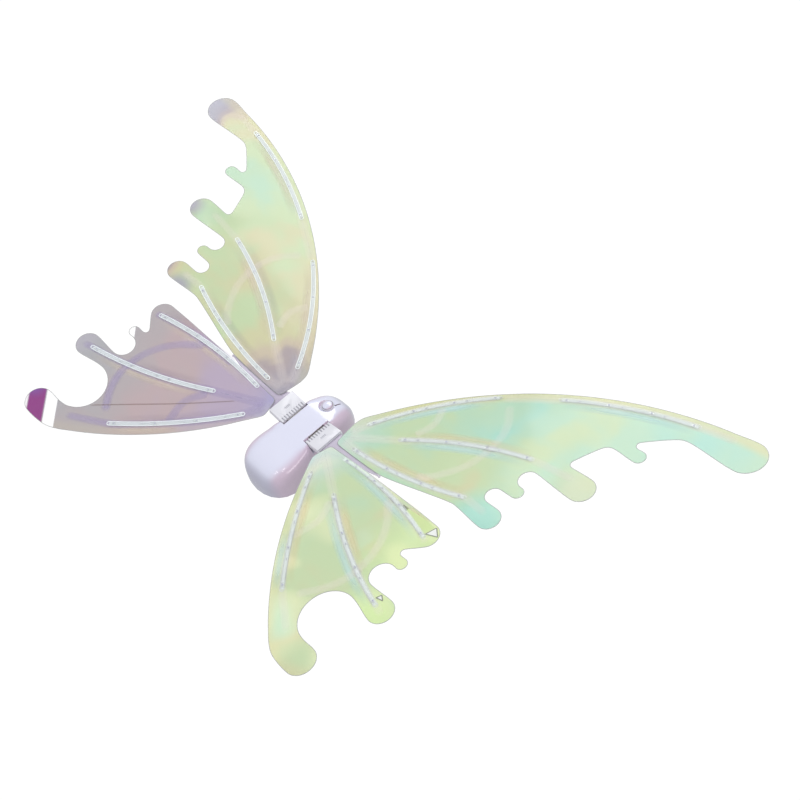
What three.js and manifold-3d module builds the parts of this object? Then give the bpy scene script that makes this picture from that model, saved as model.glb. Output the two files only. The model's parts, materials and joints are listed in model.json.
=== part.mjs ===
// Motorised fairy wings: a mouse-shaped drive case worn on the back, with two flapping arms
// that each carry a plug-in panel pair of clear film with light strips.
// Millimetres. +Z is the wearer's up, +X is right seen from the button side, and the flat back
// plate faces +Y. The origin is on the back plate's outer face, level with the wing plugs.
import * as THREE from 'three';
import { mergeVertices } from 'three/addons/utils/BufferGeometryUtils.js';
import Module from 'manifold-3d';

const wasm = await Module();
wasm.setup();

// ---------- driving dimensions ----------
const GAP = 0.3;                      // air between touching pieces
const CASE = { midZ: -14, halfLength: 70, depth: 38, wall: 2.2 };
const BACK_THICKNESS = 3;
const SEAM_Y = -BACK_THICKNESS - GAP; // where the front shell's rim stands
const WING = { rootX: 10.9, rootY: -34, dihedral: THREE.MathUtils.degToRad(10.45) };
const HINGE = { x: 14, y: -30, pinR: 1.5, barrelR: 3.2, halfHeight: 9 };
const FLAP = { back: 28, front: 20 };
// The hinge axis in the wing's own plane.
const [BARREL_U, BARREL_N] = (() => {
  const [dx, dy] = [HINGE.x - WING.rootX, HINGE.y - WING.rootY];
  const [c, s] = [Math.cos(WING.dihedral), Math.sin(WING.dihedral)];
  return [dx * c - dy * s, -dx * s - dy * c];
})();
const CRANK = { y: -19, throwR: 2.5, pinR: 1.5, axleR: 1.5, bottom: -8.5, top: -4.5 };
const GEAR = { module: 1, wheelTeeth: 20, pinionTeeth: 10 };
const BUTTON = { z: 32, radius: 6, ringR: 7.2, holeR: 7.4 };
const DOOR = { halfWidth: 20, top: -12, bottom: -64, thickness: 2.6 };
const CELL = { radius: 5.1, length: 43.6, midZ: -38.5, y: -10.2, pitch: 11.5 };
const STRAP_SLOT = { width: 24, height: 4.6, levels: [47, 38.5, -69.5, -76.5] };
const SCREWS = [[18, 24], [-18, 24], [27, -36], [-27, -36]];
const PLUG = { inner: 9.3, outer: 33, halfHeight: 17.5, back: -4.5, front: 0.6 };
const TONGUE = { end: 26.5, halfHeight: 10, back: -3.1, front: -0.9 };
const FILM_THICKNESS = 0.8;
const STRIP = { width: 5.6, height: 2.2, cavity: 4, tape: 3.4, leads: 1.4, steps: 6, lightCount: 4, light: 2.2 };
const FRONT_OF_FILM = FILM_THICKNESS / 2 + GAP;

// ---------- film outlines ----------
// Each film edge is a belt round circles: [u, v, radius], with a negative radius for a notch.
// u runs outwards from the wing root and v upwards, anticlockwise.
function edgeArc(cu, cv, radius, fromU, toU, steps, side) {
  const angle = (u) => Math.atan2(side * Math.sqrt(radius ** 2 - (u - cu) ** 2), u - cu);
  return Array.from({ length: steps + 1 }, (_, i) => {
    const a = THREE.MathUtils.lerp(angle(fromU), angle(toU), i / steps);
    return [cu + radius * Math.cos(a), cv + radius * Math.sin(a), 0];
  });
}

const UPPER_FILM = [
  [45, 9, 6], [113, 60, 58], [214, 2, -20.5],
  [257, 31, 13], [241, 54, -9.5], [258, 70.5, 7], [256, 88.5, -11],
  [308, 110, 15], [281, 130, -5], [300, 154, -13], [327, 172.5, 7.5], [319, 184.5, -4.5],
  [356, 190, -24], [412, 230, 20],
  ...edgeArc(430, -228, 477, 385, 38, 18, 1),
  [44, 32, 8],
];
const LOWER_FILM = [
  [42, -24, 9],
  ...edgeArc(438, 172, 450, 45, 177, 11, -1),
  [214.7, -159.9, 50], [230, -194, 16.5], [214, -146.5, -31],
  [251, -108.5, 14.5], [221, -80, -14.5], [226, -59.5, 6.5], [218.5, -48.5, -4.5],
  [220, -21, 14.5], [43, -9, 6],
];
const ROOT_PLATE = [
  [37, -11, 3], [48, -19, 3], [76, -9.5, -40], [118, 1, 1.5], [76, 11, -40], [48, 24, 3], [37, 12, 3],
];

// Light strips as arcs: start, bend point, end.
const UPPER_STRIPS = [
  [[51, 40], [92.5, 109.5], [152, 153]],
  [[206, 184], [274, 221], [354, 234]],
  [[98, 46], [165.5, 92], [243, 110]],
  [[63, 9], [142.5, 9], [220, 35.5]],
];
const LOWER_STRIPS = [
  [[64, -6.5], [142.5, -1.5], [223, -25]],
  [[95, -44], [165.5, -89], [246, -108]],
  [[49, -39], [95, -109], [151, -157]],
];
const UPPER_TRUNK = [36, 12];
const LOWER_TRUNK = [36, -12];

// ---------- materials ----------
const plain = (color, roughness = 0.5, metalness = 0, opacity = 1) =>
  new THREE.MeshStandardMaterial({ color, roughness, metalness, opacity, transparent: opacity < 1 });
const MATERIAL = {
  shell: plain(0xe4e2f0, 0.18),
  plug: plain(0xece8ea, 0.45),
  film: plain(0xc4e6cf, 0.15, 0, 0.5),
  rootPlate: plain(0xcfc6dc, 0.3, 0, 0.6),
  cover: plain(0xf2f2f2, 0.35, 0, 0.6),
  tape: plain(0xf6f6f4, 0.6),
  lens: plain(0x202024, 0.2),
  nylon: plain(0xd9d9d2, 0.6),
  steel: plain(0xb8bcc2, 0.3, 1),
  cell: plain(0x3d8f63, 0.45),
  board: plain(0x1f5f3d, 0.6),
  black: plain(0x222226, 0.6),
};

// ---------- solids ----------
function solid(geometry) {
  const g = geometry.clone();
  g.deleteAttribute('normal');
  g.deleteAttribute('uv');
  const merged = mergeVertices(g, 1e-4);
  const index = [];
  for (let i = 0; i < merged.index.count; i += 3) {
    const [a, b, c] = [0, 1, 2].map((k) => merged.index.getX(i + k));
    if (a !== b && b !== c && c !== a) index.push(a, b, c);
  }
  const vertProperties = new Float32Array(merged.attributes.position.array);
  return new wasm.Manifold(new wasm.Mesh({ numProp: 3, vertProperties, triVerts: new Uint32Array(index) }));
}

function toGeometry(manifold) {
  const mesh = manifold.getMesh();
  const geometry = new THREE.BufferGeometry();
  geometry.setAttribute('position', new THREE.BufferAttribute(new Float32Array(mesh.vertProperties), 3));
  geometry.setIndex(new THREE.BufferAttribute(new Uint32Array(mesh.triVerts), 1));
  return geometry;
}

const sides = [-1, 1];
const span = (side, near, far) => (side > 0 ? [near, far] : [-far, -near]);
const join = (solids) => solids.reduce((sum, next) => sum.add(next));
const cut = (body, tools) => tools.reduce((rest, tool) => rest.subtract(tool), body);

function box([x0, x1], [y0, y1], [z0, z1]) {
  const g = new THREE.BoxGeometry(x1 - x0, y1 - y0, z1 - z0);
  g.translate((x0 + x1) / 2, (y0 + y1) / 2, (z0 + z1) / 2);
  return solid(g);
}

function rod(radius, from, to, facets = 16) {
  const [a, b] = [new THREE.Vector3(...from), new THREE.Vector3(...to)];
  const along = b.clone().sub(a);
  const g = new THREE.CylinderGeometry(radius, radius, along.length(), facets);
  const turn = new THREE.Quaternion().setFromUnitVectors(new THREE.Vector3(0, 1, 0), along.normalize());
  g.applyQuaternion(turn);
  g.translate(...a.add(b).multiplyScalar(0.5));
  return solid(g);
}

// A flat plate whose shape is drawn in X and Z, from y0 to y1.
function plateXZ(points, y0, y1) {
  const shape = new THREE.Shape(points.map(([x, z]) => new THREE.Vector2(x, z)));
  const g = new THREE.ExtrudeGeometry(shape, { depth: y1 - y0, bevelEnabled: false, steps: 1 });
  g.rotateX(Math.PI / 2);
  g.translate(0, y1, 0);
  return solid(g);
}

// A flat plate whose shape is drawn in X and Y, from z0 to z1.
function plateXY(points, z0, z1) {
  const shape = new THREE.Shape(points.map(([x, y]) => new THREE.Vector2(x, y)));
  const g = new THREE.ExtrudeGeometry(shape, { depth: z1 - z0, bevelEnabled: false, steps: 1 });
  g.translate(0, 0, z0);
  return solid(g);
}

const group = new THREE.Group();

function add(name, manifold, material, parent = group) {
  const mesh = new THREE.Mesh(toGeometry(manifold), material);
  mesh.name = name;
  parent.add(mesh);
}

// ---------- belt outline ----------
// The straight run from one circle to the next touches both on the left of the travel.
function tangent([u1, v1, r1], [u2, v2, r2]) {
  const along = Math.atan2(v2 - v1, u2 - u1);
  const heading = along + Math.asin((r1 - r2) / Math.hypot(u2 - u1, v2 - v1));
  const [nu, nv] = [Math.sin(heading), -Math.cos(heading)];
  return [[u1 + r1 * nu, v1 + r1 * nv], [u2 + r2 * nu, v2 + r2 * nv]];
}

function beltOutline(circles, arcStep = 0.42) {
  const runs = circles.map((circle, i) => tangent(circle, circles[(i + 1) % circles.length]));
  return circles.flatMap(([u, v, r], i) => {
    const [, enter] = runs[(i + circles.length - 1) % circles.length];
    const [leave] = runs[i];
    if (r === 0) return [[u, v]];
    const start = Math.atan2(enter[1] - v, enter[0] - u);
    let sweep = Math.atan2(leave[1] - v, leave[0] - u) - start;
    if (r > 0 && sweep < 0) sweep += 2 * Math.PI;
    if (r < 0 && sweep > 0) sweep -= 2 * Math.PI;
    const steps = Math.max(1, Math.ceil(Math.abs(sweep) / arcStep));
    return Array.from({ length: steps + 1 }, (_, k) => {
      const a = start + (sweep * k) / steps;
      return [u + Math.abs(r) * Math.cos(a), v + Math.abs(r) * Math.sin(a)];
    });
  });
}

// ---------- drive case ----------
const waist = (z) => Math.exp(-((z / 24) ** 2));
const ridge = (z) => Math.exp(-((z / 22) ** 4));
const caseT = (z) => (z - CASE.midZ) / CASE.halfLength;

function caseHalfWidth(z) {
  const t = caseT(z);
  return (36 - 8 * t) * Math.sqrt(Math.max(0, 1 - t ** 4));
}

function caseDepth(z) {
  return CASE.depth * Math.sqrt(Math.max(0, 1 - caseT(z) ** 6));
}

// One point of the front shell's surface; inset moves it inwards.
function casePoint(z, angle, inset) {
  const w = Math.max(0, caseHalfWidth(z) - inset);
  const depth = Math.max(0, caseDepth(z) - inset + SEAM_Y);
  const pinch = 0.05 + 0.4 * waist(z);
  const power = 2 / (4 + 2.4 * waist(z) + 10 * ridge(z));
  const s = Math.abs(Math.sin(angle)) ** power;
  const c = Math.sign(Math.cos(angle)) * Math.abs(Math.cos(angle)) ** power;
  return [w * (1 - pinch * s) * c, SEAM_Y - depth * s, z];
}

function caseSolid(inset, baseY) {
  const [rings, around] = [24, 18];
  // Closer together where the surface turns up from the rim.
  const angleAt = (share) => Math.PI * (share - 0.11 * Math.sin(2 * Math.PI * share));
  const half = CASE.halfLength - inset;
  const positions = [];
  for (let i = 0; i <= rings; i++) {
    const z = CASE.midZ - half * Math.cos((Math.PI * i) / rings);
    const zShape = CASE.midZ + ((z - CASE.midZ) / half) * CASE.halfLength;
    const endRing = i === 0 || i === rings;
    for (let j = 0; j <= around; j++) {
      const [x, y] = casePoint(zShape, angleAt(j / around), inset);
      const onRim = j === 0 || j === around;
      positions.push(endRing ? [0, baseY, z] : [x, onRim ? baseY : y, z]);
    }
  }
  const width = around + 1;
  const index = [];
  for (let i = 0; i < rings; i++) {
    for (let j = 0; j < width; j++) {
      const next = (j + 1) % width;
      const [a, b, c, d] = [i * width + j, i * width + next, (i + 1) * width + next, (i + 1) * width + j];
      index.push(a, c, b, a, d, c);
    }
  }
  const g = new THREE.BufferGeometry();
  g.setAttribute('position', new THREE.Float32BufferAttribute(positions.flat(), 3));
  g.setIndex(index);
  return solid(g);
}

function backOutline(inset) {
  const half = CASE.halfLength - inset;
  const steps = 18;
  const side = Array.from({ length: steps + 1 }, (_, i) => {
    const z = -Math.cos((Math.PI * i) / steps);
    return [Math.max(0, caseHalfWidth(CASE.midZ + z * CASE.halfLength) - inset), CASE.midZ + half * z];
  });
  const other = side.slice(1, -1).reverse().map(([x, z]) => [-x, z]);
  return [...side, ...other];
}

// What has to be cleared in the shell for one wing's arm and plug to flap.
function wingRoom(side) {
  const armSlot = plateXY([[12.6, -22], [12.6, -34], [17, -36.5], [17, -60], [60, -60], [60, -22]], -11, 11);
  const plugSweep = [[-FLAP.back, 40], [-FLAP.back / 2, 40], [0, 40], [FLAP.front / 2, 3], [FLAP.front, 3]].map(
    ([angle, front]) => {
      const [u0, n0] = [PLUG.inner - 0.4 - BARREL_U, PLUG.back - 0.4 - BARREL_N];
      const block = box([u0, 60], [-(front - BARREL_N), -n0], [-PLUG.halfHeight - 0.5, PLUG.halfHeight + 0.5]);
      const tilt = THREE.MathUtils.radToDeg(WING.dihedral) + angle;
      return block.rotate([0, 0, -tilt]).translate([HINGE.x, HINGE.y, 0]);
    });
  return [armSlot, ...plugSweep].map((room) => (side > 0 ? room : mirrored(room)));
}

function frontShell() {
  const outer = caseSolid(0, SEAM_Y);
  const hollow = caseSolid(CASE.wall, SEAM_Y + 1);
  const bosses = SCREWS.map(([x, z]) => rod(3, [x, SEAM_Y, z], [x, -CASE.depth, z], 16).intersect(outer));
  const holes = SCREWS.map(([x, z]) => rod(1.7, [x, 1, z], [x, -12, z], 12));
  const pads = sides.flatMap((side) => sides.flatMap((end) => [
    box(span(side, 16, 40), [-60, -26], span(end, 13.4, 20)).intersect(outer),
    box(span(side, 21.5, 40), [-60, -18], span(end, 13.4, 20)).intersect(outer),
  ]));
  const buttonHole = rod(BUTTON.holeR, [0, -60, BUTTON.z], [0, -20, BUTTON.z], 32);
  const indicatorSlot = box([5.2, 6.8], [-60, -20], [37.2, 44.8]);
  const body = cut(outer, [hollow]).add(join([...bosses, ...pads]));
  return cut(body, [...holes, ...sides.flatMap(wingRoom), buttonHole, indicatorSlot]);
}

function indicatorLens() {
  return box([5.5, 6.5], [-60, -27], [37.5, 44.5]).intersect(caseSolid(0.3, SEAM_Y));
}

function backPlate() {
  const plate = plateXZ(backOutline(0.2), -BACK_THICKNESS, 0);
  const doorHole = box([-DOOR.halfWidth - GAP, DOOR.halfWidth + GAP], [-9, 1], [DOOR.bottom - GAP, DOOR.top + GAP]);
  const slots = STRAP_SLOT.levels.map((z) =>
    box([-STRAP_SLOT.width / 2, STRAP_SLOT.width / 2], [-9, 1], [z - STRAP_SLOT.height / 2, z + STRAP_SLOT.height / 2]));
  const screwHoles = SCREWS.flatMap(([x, z]) => [
    rod(1.7, [x, 1, z], [x, -9, z], 12),
    rod(3.2, [x, 1, z], [x, -1.9, z], 16),
  ]);
  return cut(plate, [doorHole, ...slots, ...screwHoles]);
}

function screw([x, z]) {
  const head = rod(2.9, [x, -0.3, z], [x, -1.7, z], 12);
  const shank = rod(1.4, [x, -1, z], [x, -11, z], 8);
  const drive = box([x - 0.4, x + 0.4], [-0.9, 0], [z - 2, z + 2]);
  return cut(head.add(shank), [drive]);
}

add('front_shell', frontShell(), MATERIAL.shell);
add('back_plate', backPlate(), MATERIAL.shell);
add('indicator_lens', indicatorLens(), MATERIAL.lens);
SCREWS.forEach((place, i) => add(`case_screw_${i + 1}`, screw(place), MATERIAL.steel));

// ---------- power button ----------
function lathe(profile, [x, y, z], facets = 28) {
  const g = new THREE.LatheGeometry(profile.map(([r, h]) => new THREE.Vector2(r, h)), facets);
  g.rotateX(Math.PI);
  g.translate(x, y, z);
  return solid(g);
}

function powerButton() {
  const r = BUTTON.radius;
  const profile = [[0, -5.8], [2, -5.8], [2, -3], [r, -3], [r, 1.2], [r * 0.8, 1.9], [r * 0.45, 2.3], [0, 2.4]];
  return lathe(profile, [0, -36.2, BUTTON.z]);
}

function buttonRing() {
  const [inner, outer] = [BUTTON.radius + GAP, BUTTON.ringR];
  const profile = [[inner, -2.8], [outer, -2.8], [outer, 0.6], [outer - 0.4, 0.9], [inner, 0.4], [inner, -2.8]];
  return lathe(profile, [0, -36.2, BUTTON.z]);
}

add('power_button', powerButton(), MATERIAL.shell);
add('button_ring', buttonRing(), MATERIAL.plug);

// ---------- electronics ----------
const BOARD_Y = [-26, -24.4];
add('circuit_board', box([-11, 11], BOARD_Y, [24.5, 41]), MATERIAL.board);
add('tact_switch', box([-3, 3], [-28.9, BOARD_Y[0] - GAP], [BUTTON.z - 3, BUTTON.z + 3]), MATERIAL.black);

// ---------- batteries and door ----------
const TRAY = { halfWidth: 21, back: SEAM_Y - GAP, front: -17.5, wall: 1.2, low: -65, high: -13.4 };

function batteryTray() {
  const { halfWidth, back, front, wall, low, high } = TRAY;
  const outside = box([-halfWidth, halfWidth], [front, back], [low, high]);
  const inside = box([wall - halfWidth, halfWidth - wall], [front + wall, 1], [low + wall, high - wall]);
  return cut(outside, [inside]);
}

function contactPlate(z, towards) {
  const plate = box([-17, 17], [-15, -5.5], [z - 0.3, z + 0.3]);
  const buds = [-1, 0, 1].map((i) =>
    rod(2.4, [i * CELL.pitch, CELL.y, z], [i * CELL.pitch, CELL.y, z + towards], 12));
  return join([plate, ...buds]);
}

function batteryDoor() {
  const panel = box([-DOOR.halfWidth, DOOR.halfWidth], [-DOOR.thickness, 0], [DOOR.bottom, DOOR.top]);
  const pull = rod(6, [0, 0.1, DOOR.bottom], [0, -1.2, DOOR.bottom], 24);
  return cut(panel, [pull]);
}

add('battery_tray', batteryTray(), MATERIAL.nylon);
[-1, 0, 1].forEach((i) => {
  const [low, high] = [CELL.midZ - CELL.length / 2, CELL.midZ + CELL.length / 2];
  const can = rod(CELL.radius, [i * CELL.pitch, CELL.y, low], [i * CELL.pitch, CELL.y, high]);
  const cap = rod(1.9, [i * CELL.pitch, CELL.y, high - 1], [i * CELL.pitch, CELL.y, high + 0.8], 12);
  add(`battery_${i + 2}`, can.add(cap), MATERIAL.cell);
});
add('contact_plate_upper', contactPlate(TRAY.high - TRAY.wall - GAP - 0.3, -0.3), MATERIAL.steel);
add('contact_plate_lower', contactPlate(TRAY.low + TRAY.wall + GAP + 0.3, 2.6), MATERIAL.steel);
add('battery_door', batteryDoor(), MATERIAL.shell);

// ---------- flapping drive ----------
function gearOutline(teeth, phase) {
  const radius = (GEAR.module * teeth) / 2;
  const step = (2 * Math.PI) / teeth;
  const corners = [[-0.3, radius - 1.2], [-0.14, radius + 0.8], [0.14, radius + 0.8], [0.3, radius - 1.2]];
  return Array.from({ length: teeth }, (_, i) => i).flatMap((i) =>
    corners.map(([share, r]) => {
      const a = phase + (i + share) * step;
      return [r * Math.cos(a), r * Math.sin(a)];
    }));
}

function gear(teeth, phase, [x, y], z0, z1) {
  return plateXY(gearOutline(teeth, phase).map(([gx, gy]) => [x + gx, y + gy]), z0, z1);
}

const MOTOR = { x: -(GEAR.module * (GEAR.wheelTeeth + GEAR.pinionTeeth)) / 2, y: CRANK.y, r: 5, low: -2, high: 19 };

function crankWheel() {
  const wheel = gear(GEAR.wheelTeeth, 0, [0, CRANK.y], CRANK.bottom, CRANK.top);
  const hub = rod(3.5, [0, CRANK.y, -10.6], [0, CRANK.y, CRANK.bottom + 1]);
  const crankPin = rod(CRANK.pinR, [CRANK.throwR, CRANK.y, CRANK.top - 1], [CRANK.throwR, CRANK.y, 4.5]);
  const bore = rod(CRANK.axleR + 0.1, [0, CRANK.y, -20], [0, CRANK.y, CRANK.top - 1.2]);
  return cut(join([wheel, hub]), [bore]).add(crankPin);
}

function motorPinion() {
  const halfTooth = Math.PI / GEAR.pinionTeeth;
  const pinion = gear(GEAR.pinionTeeth, halfTooth, [MOTOR.x, MOTOR.y], CRANK.bottom, CRANK.top);
  const shaft = rod(1, [MOTOR.x, MOTOR.y, CRANK.top - 1], [MOTOR.x, MOTOR.y, MOTOR.low - GAP], 12);
  return pinion.add(shaft);
}

const YOKE = { low: 0, high: 4, halfWidth: 7.5, barHalfWidth: 9.8, pinR: 1.2 };
// Where each arm's fork meets the yoke, in the wing's own plane and in the case's frame.
const LEVER = { u: -3.6, n: -4.5, low: 5, high: 8 };
const wingPoint = (side, u, n) => [
  side * (WING.rootX + u * Math.cos(WING.dihedral) - n * Math.sin(WING.dihedral)),
  WING.rootY - u * Math.sin(WING.dihedral) - n * Math.cos(WING.dihedral),
];

function yoke() {
  const [pinX, pinY] = wingPoint(1, LEVER.u, LEVER.n);
  const frame = box([-YOKE.halfWidth, YOKE.halfWidth], [pinY, -9.5], [YOKE.low, YOKE.high]);
  const bar = box([-YOKE.barHalfWidth, YOKE.barHalfWidth], [pinY - 1.6, pinY + 1.6], [YOKE.low, YOKE.high]);
  const window = box([-4.6, 4.6], [CRANK.y - 7, CRANK.y + 7], [-1, 5]);
  const pins = sides.map((side) =>
    rod(YOKE.pinR, [side * pinX, pinY, YOKE.high - 1], [side * pinX, pinY, LEVER.high + 1], 12));
  return cut(join([frame, bar]), [window]).add(join(pins));
}

function chassis() {
  const outline = [[-19, -3.6], [-19, -24], [-16.2, -32.4], [16.2, -32.4], [19, -24], [19, -3.6]];
  const shelves = [plateXY(outline, -13, -11), plateXY(outline, 11, 13)];
  const backWall = box([-19, 19], [-5.4, -3.6], [-12, 12]);
  const pinHoles = sides.map((side) =>
    rod(HINGE.pinR + 0.1, [side * HINGE.x, HINGE.y, -20], [side * HINGE.x, HINGE.y, 20]));
  const axleHole = rod(CRANK.axleR + 0.1, [0, CRANK.y, -20], [0, CRANK.y, 0]);
  const motorHole = rod(MOTOR.r + GAP, [MOTOR.x, MOTOR.y, 0], [MOTOR.x, MOTOR.y, 20]);
  return cut(join([...shelves, backWall]), [...pinHoles, axleHole, motorHole]);
}

const motorBody = rod(MOTOR.r, [MOTOR.x, MOTOR.y, MOTOR.low], [MOTOR.x, MOTOR.y, MOTOR.high]);
const crankAxle = rod(CRANK.axleR, [0, CRANK.y, -13.5], [0, CRANK.y, CRANK.top - 1.5]);
add('chassis', chassis(), MATERIAL.nylon);
add('motor', motorBody, MATERIAL.steel);
add('crank_axle', crankAxle, MATERIAL.steel);
add('motor_pinion', motorPinion(), MATERIAL.nylon);
add('crank_wheel', crankWheel(), MATERIAL.nylon);
add('yoke', yoke(), MATERIAL.nylon);

// ---------- wings ----------
// Wing pieces are drawn in the plane of the wing: X outwards, Z up and Y towards the back,
// so that a height n above the plane is at y = -n. The left wing is the right one mirrored.
const slab = ([u0, u1], [n0, n1], [v0, v1]) => box([u0, u1], [-n1, -n0], [v0, v1]);
const sheet = (circles, n0, n1) => plateXZ(beltOutline(circles), -n1, -n0);

function ribbon(points, width, n0, n1) {
  const last = points.length - 1;
  const edges = points.map(([u, v], i) => {
    const [a, b] = [points[Math.max(0, i - 1)], points[Math.min(last, i + 1)]];
    const length = Math.hypot(b[0] - a[0], b[1] - a[1]);
    const [nu, nv] = [(-(b[1] - a[1]) / length) * (width / 2), ((b[0] - a[0]) / length) * (width / 2)];
    return { left: [u + nu, v + nv], right: [u - nu, v - nv] };
  });
  const outline = [...edges.map((e) => e.right), ...edges.map((e) => e.left).reverse()];
  return plateXZ(outline, -n1, -n0);
}

const stripCurve = (strip) => new THREE.QuadraticBezierCurve(...strip.map(([u, v]) => new THREE.Vector2(u, v)));
const along = (strip, from, to, steps) =>
  Array.from({ length: steps + 1 }, (_, i) =>
    stripCurve(strip).getPointAt(THREE.MathUtils.lerp(from, to, i / steps)).toArray());

function stripCover(strip) {
  const [n0, n1] = [FRONT_OF_FILM, FRONT_OF_FILM + STRIP.height];
  const middle = along(strip, 0.02, 0.98, STRIP.steps);
  const ends = [middle[0], middle.at(-1)].map(([u, v]) => rod(STRIP.width / 2, [u, -n0, v], [u, -n1, v], 10));
  const cavity = ribbon(along(strip, 0.01, 0.99, STRIP.steps), STRIP.cavity, 0, n1 - 0.7);
  const leadPath = ribbon(extended(along(strip, 0, 1, 4), 6), STRIP.leads + 0.7, 0, n0 + 0.7);
  return cut(join([ribbon(middle, STRIP.width, n0, n1), ...ends]), [cavity, leadPath]);
}

// The same run of points with each end drawn out in line.
function extended(points, length) {
  const reach = (a, b) => {
    const d = Math.hypot(b[0] - a[0], b[1] - a[1]);
    return [b[0] + ((b[0] - a[0]) / d) * length, b[1] + ((b[1] - a[1]) / d) * length];
  };
  return [reach(points[1], points[0]), ...points, reach(points.at(-2), points.at(-1))];
}

function lightCircuit(strips, trunk, links) {
  const [n0, n1] = [FRONT_OF_FILM, FRONT_OF_FILM + 0.4];
  const tapes = strips.map((strip) => ribbon(along(strip, 0.03, 0.97, STRIP.steps), STRIP.tape, n0, n1));
  const lights = strips.flatMap((strip) =>
    Array.from({ length: STRIP.lightCount }, (_, i) => {
      const { x: u, y: v } = stripCurve(strip).getPointAt(0.045 + (0.91 * i) / (STRIP.lightCount - 1));
      const half = STRIP.light / 2;
      return slab([u - half, u + half], [n1 - 0.1, n1 + 0.9], [v - half, v + half]);
    }));
  const pad = slab([trunk[0] - 2, trunk[0] + 3], [n0, n1], [trunk[1] - 3, trunk[1] + 3]);
  const leads = links.map((path) => ribbon(path, STRIP.leads, n0, n1));
  return join([pad, ...tapes, ...lights, ...leads]);
}

// A lead runs in line with the strip's own end, then straight to its source.
function leadTo(strip, source) {
  const inLine = extended(along(strip, 0, 1, 4), 7).slice(0, 3);
  return [source, ...inLine];
}

function flapArm() {
  const barrel = rod(HINGE.barrelR, [BARREL_U, -BARREL_N, -HINGE.halfHeight], [BARREL_U, -BARREL_N, HINGE.halfHeight]);
  const tongue = slab([BARREL_U, TONGUE.end], [TONGUE.back, TONGUE.front], [-TONGUE.halfHeight, TONGUE.halfHeight]);
  const lever = slab([LEVER.u - 2.5, BARREL_U], [LEVER.n - 3, LEVER.n + 3], [LEVER.low, LEVER.high]);
  const fork = slab([LEVER.u - 5, LEVER.u + 1.8], [LEVER.n - 1.5, LEVER.n + 1.5], [LEVER.low - 1, LEVER.high + 1]);
  const bore = rod(HINGE.pinR + 0.1, [BARREL_U, -BARREL_N, -20], [BARREL_U, -BARREL_N, 20]);
  return cut(join([barrel, tongue, lever]), [fork, bore]);
}

function plugBase() {
  const { inner, outer, halfHeight, back, front } = PLUG;
  const body = slab([inner, outer], [back, front], [-halfHeight, halfHeight]);
  const socket = slab([inner - 5, TONGUE.end + GAP], [TONGUE.back - GAP, TONGUE.front + GAP],
    [-TONGUE.halfHeight - GAP, TONGUE.halfHeight + GAP]);
  const rootSlot = slab([28.5, outer + 1], [-2.2, -0.6], [-15.5, 15.5]);
  return cut(body, [socket, rootSlot]);
}

function plugCover() {
  const cover = slab([PLUG.inner + 0.3, PLUG.outer - 0.3], [PLUG.front + GAP, 2.5], [-17.2, 17.2]);
  const grooves = Array.from({ length: 9 }, (_, i) => {
    const v = (i - 4) * 3.5;
    return slab([PLUG.inner, PLUG.inner + 5.5], [1.4, 4], [v - 0.75, v + 0.75]);
  });
  const mark = slab([21, 22.2], [2, 4], [-4, 4]);
  return cut(cover, [...grooves, mark]);
}

function rootPlate() {
  const fan = sheet(ROOT_PLATE, -1.9, -0.9);
  const tail = slab([28.9, 36], [-1.9, -0.9], [-15, 15]);
  return fan.add(tail);
}

function mirrored(manifold) {
  return manifold.mirror([1, 0, 0]);
}

function buildWing(sideName, side) {
  const wing = new THREE.Group();
  wing.position.set(side * WING.rootX, WING.rootY, 0);
  wing.rotation.z = -side * WING.dihedral;
  group.add(wing);
  const place = (name, manifold, material) =>
    add(`${name}_${sideName}`, side > 0 ? manifold : mirrored(manifold), material, wing);
  place('flap_arm', flapArm(), MATERIAL.nylon);
  place('plug_base', plugBase(), MATERIAL.plug);
  place('plug_cover', plugCover(), MATERIAL.plug);
  place('root_plate', rootPlate(), MATERIAL.rootPlate);
  place('upper_film', sheet(UPPER_FILM, -FILM_THICKNESS / 2, FILM_THICKNESS / 2), MATERIAL.film);
  place('lower_film', sheet(LOWER_FILM, -FILM_THICKNESS / 2, FILM_THICKNESS / 2), MATERIAL.film);
  const [tip, outer, middle, low] = UPPER_STRIPS;
  const bridge = [...along(tip, 0.93, 1, 1), ...along(outer, 0, 0.07, 1)];
  const upperLinks = [...[tip, middle, low].map((strip) => leadTo(strip, UPPER_TRUNK)), bridge];
  const lowerLinks = LOWER_STRIPS.map((strip) => leadTo(strip, LOWER_TRUNK));
  place('light_circuit_upper', lightCircuit(UPPER_STRIPS, UPPER_TRUNK, upperLinks), MATERIAL.tape);
  place('light_circuit_lower', lightCircuit(LOWER_STRIPS, LOWER_TRUNK, lowerLinks), MATERIAL.tape);
  [...UPPER_STRIPS, ...LOWER_STRIPS].forEach((strip, i) => {
    place(`strip_cover_${i + 1}`, stripCover(strip), MATERIAL.cover);
  });
  const pinX = side * HINGE.x;
  add(`hinge_pin_${sideName}`, rod(HINGE.pinR, [pinX, HINGE.y, -13.5], [pinX, HINGE.y, 13.5]), MATERIAL.steel);
}

buildWing('right', 1);
buildWing('left', -1);

export default group;
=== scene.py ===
"""Motorised fairy wings: pearl drive case, plug-in iridescent film panels with light strips.

Shapes are drawn in millimetres and made in metres. Wing pieces are drawn in the wing's own plane:
u outwards, v upwards, n towards the front, all measured from the wing's root.
"""
import math

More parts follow.
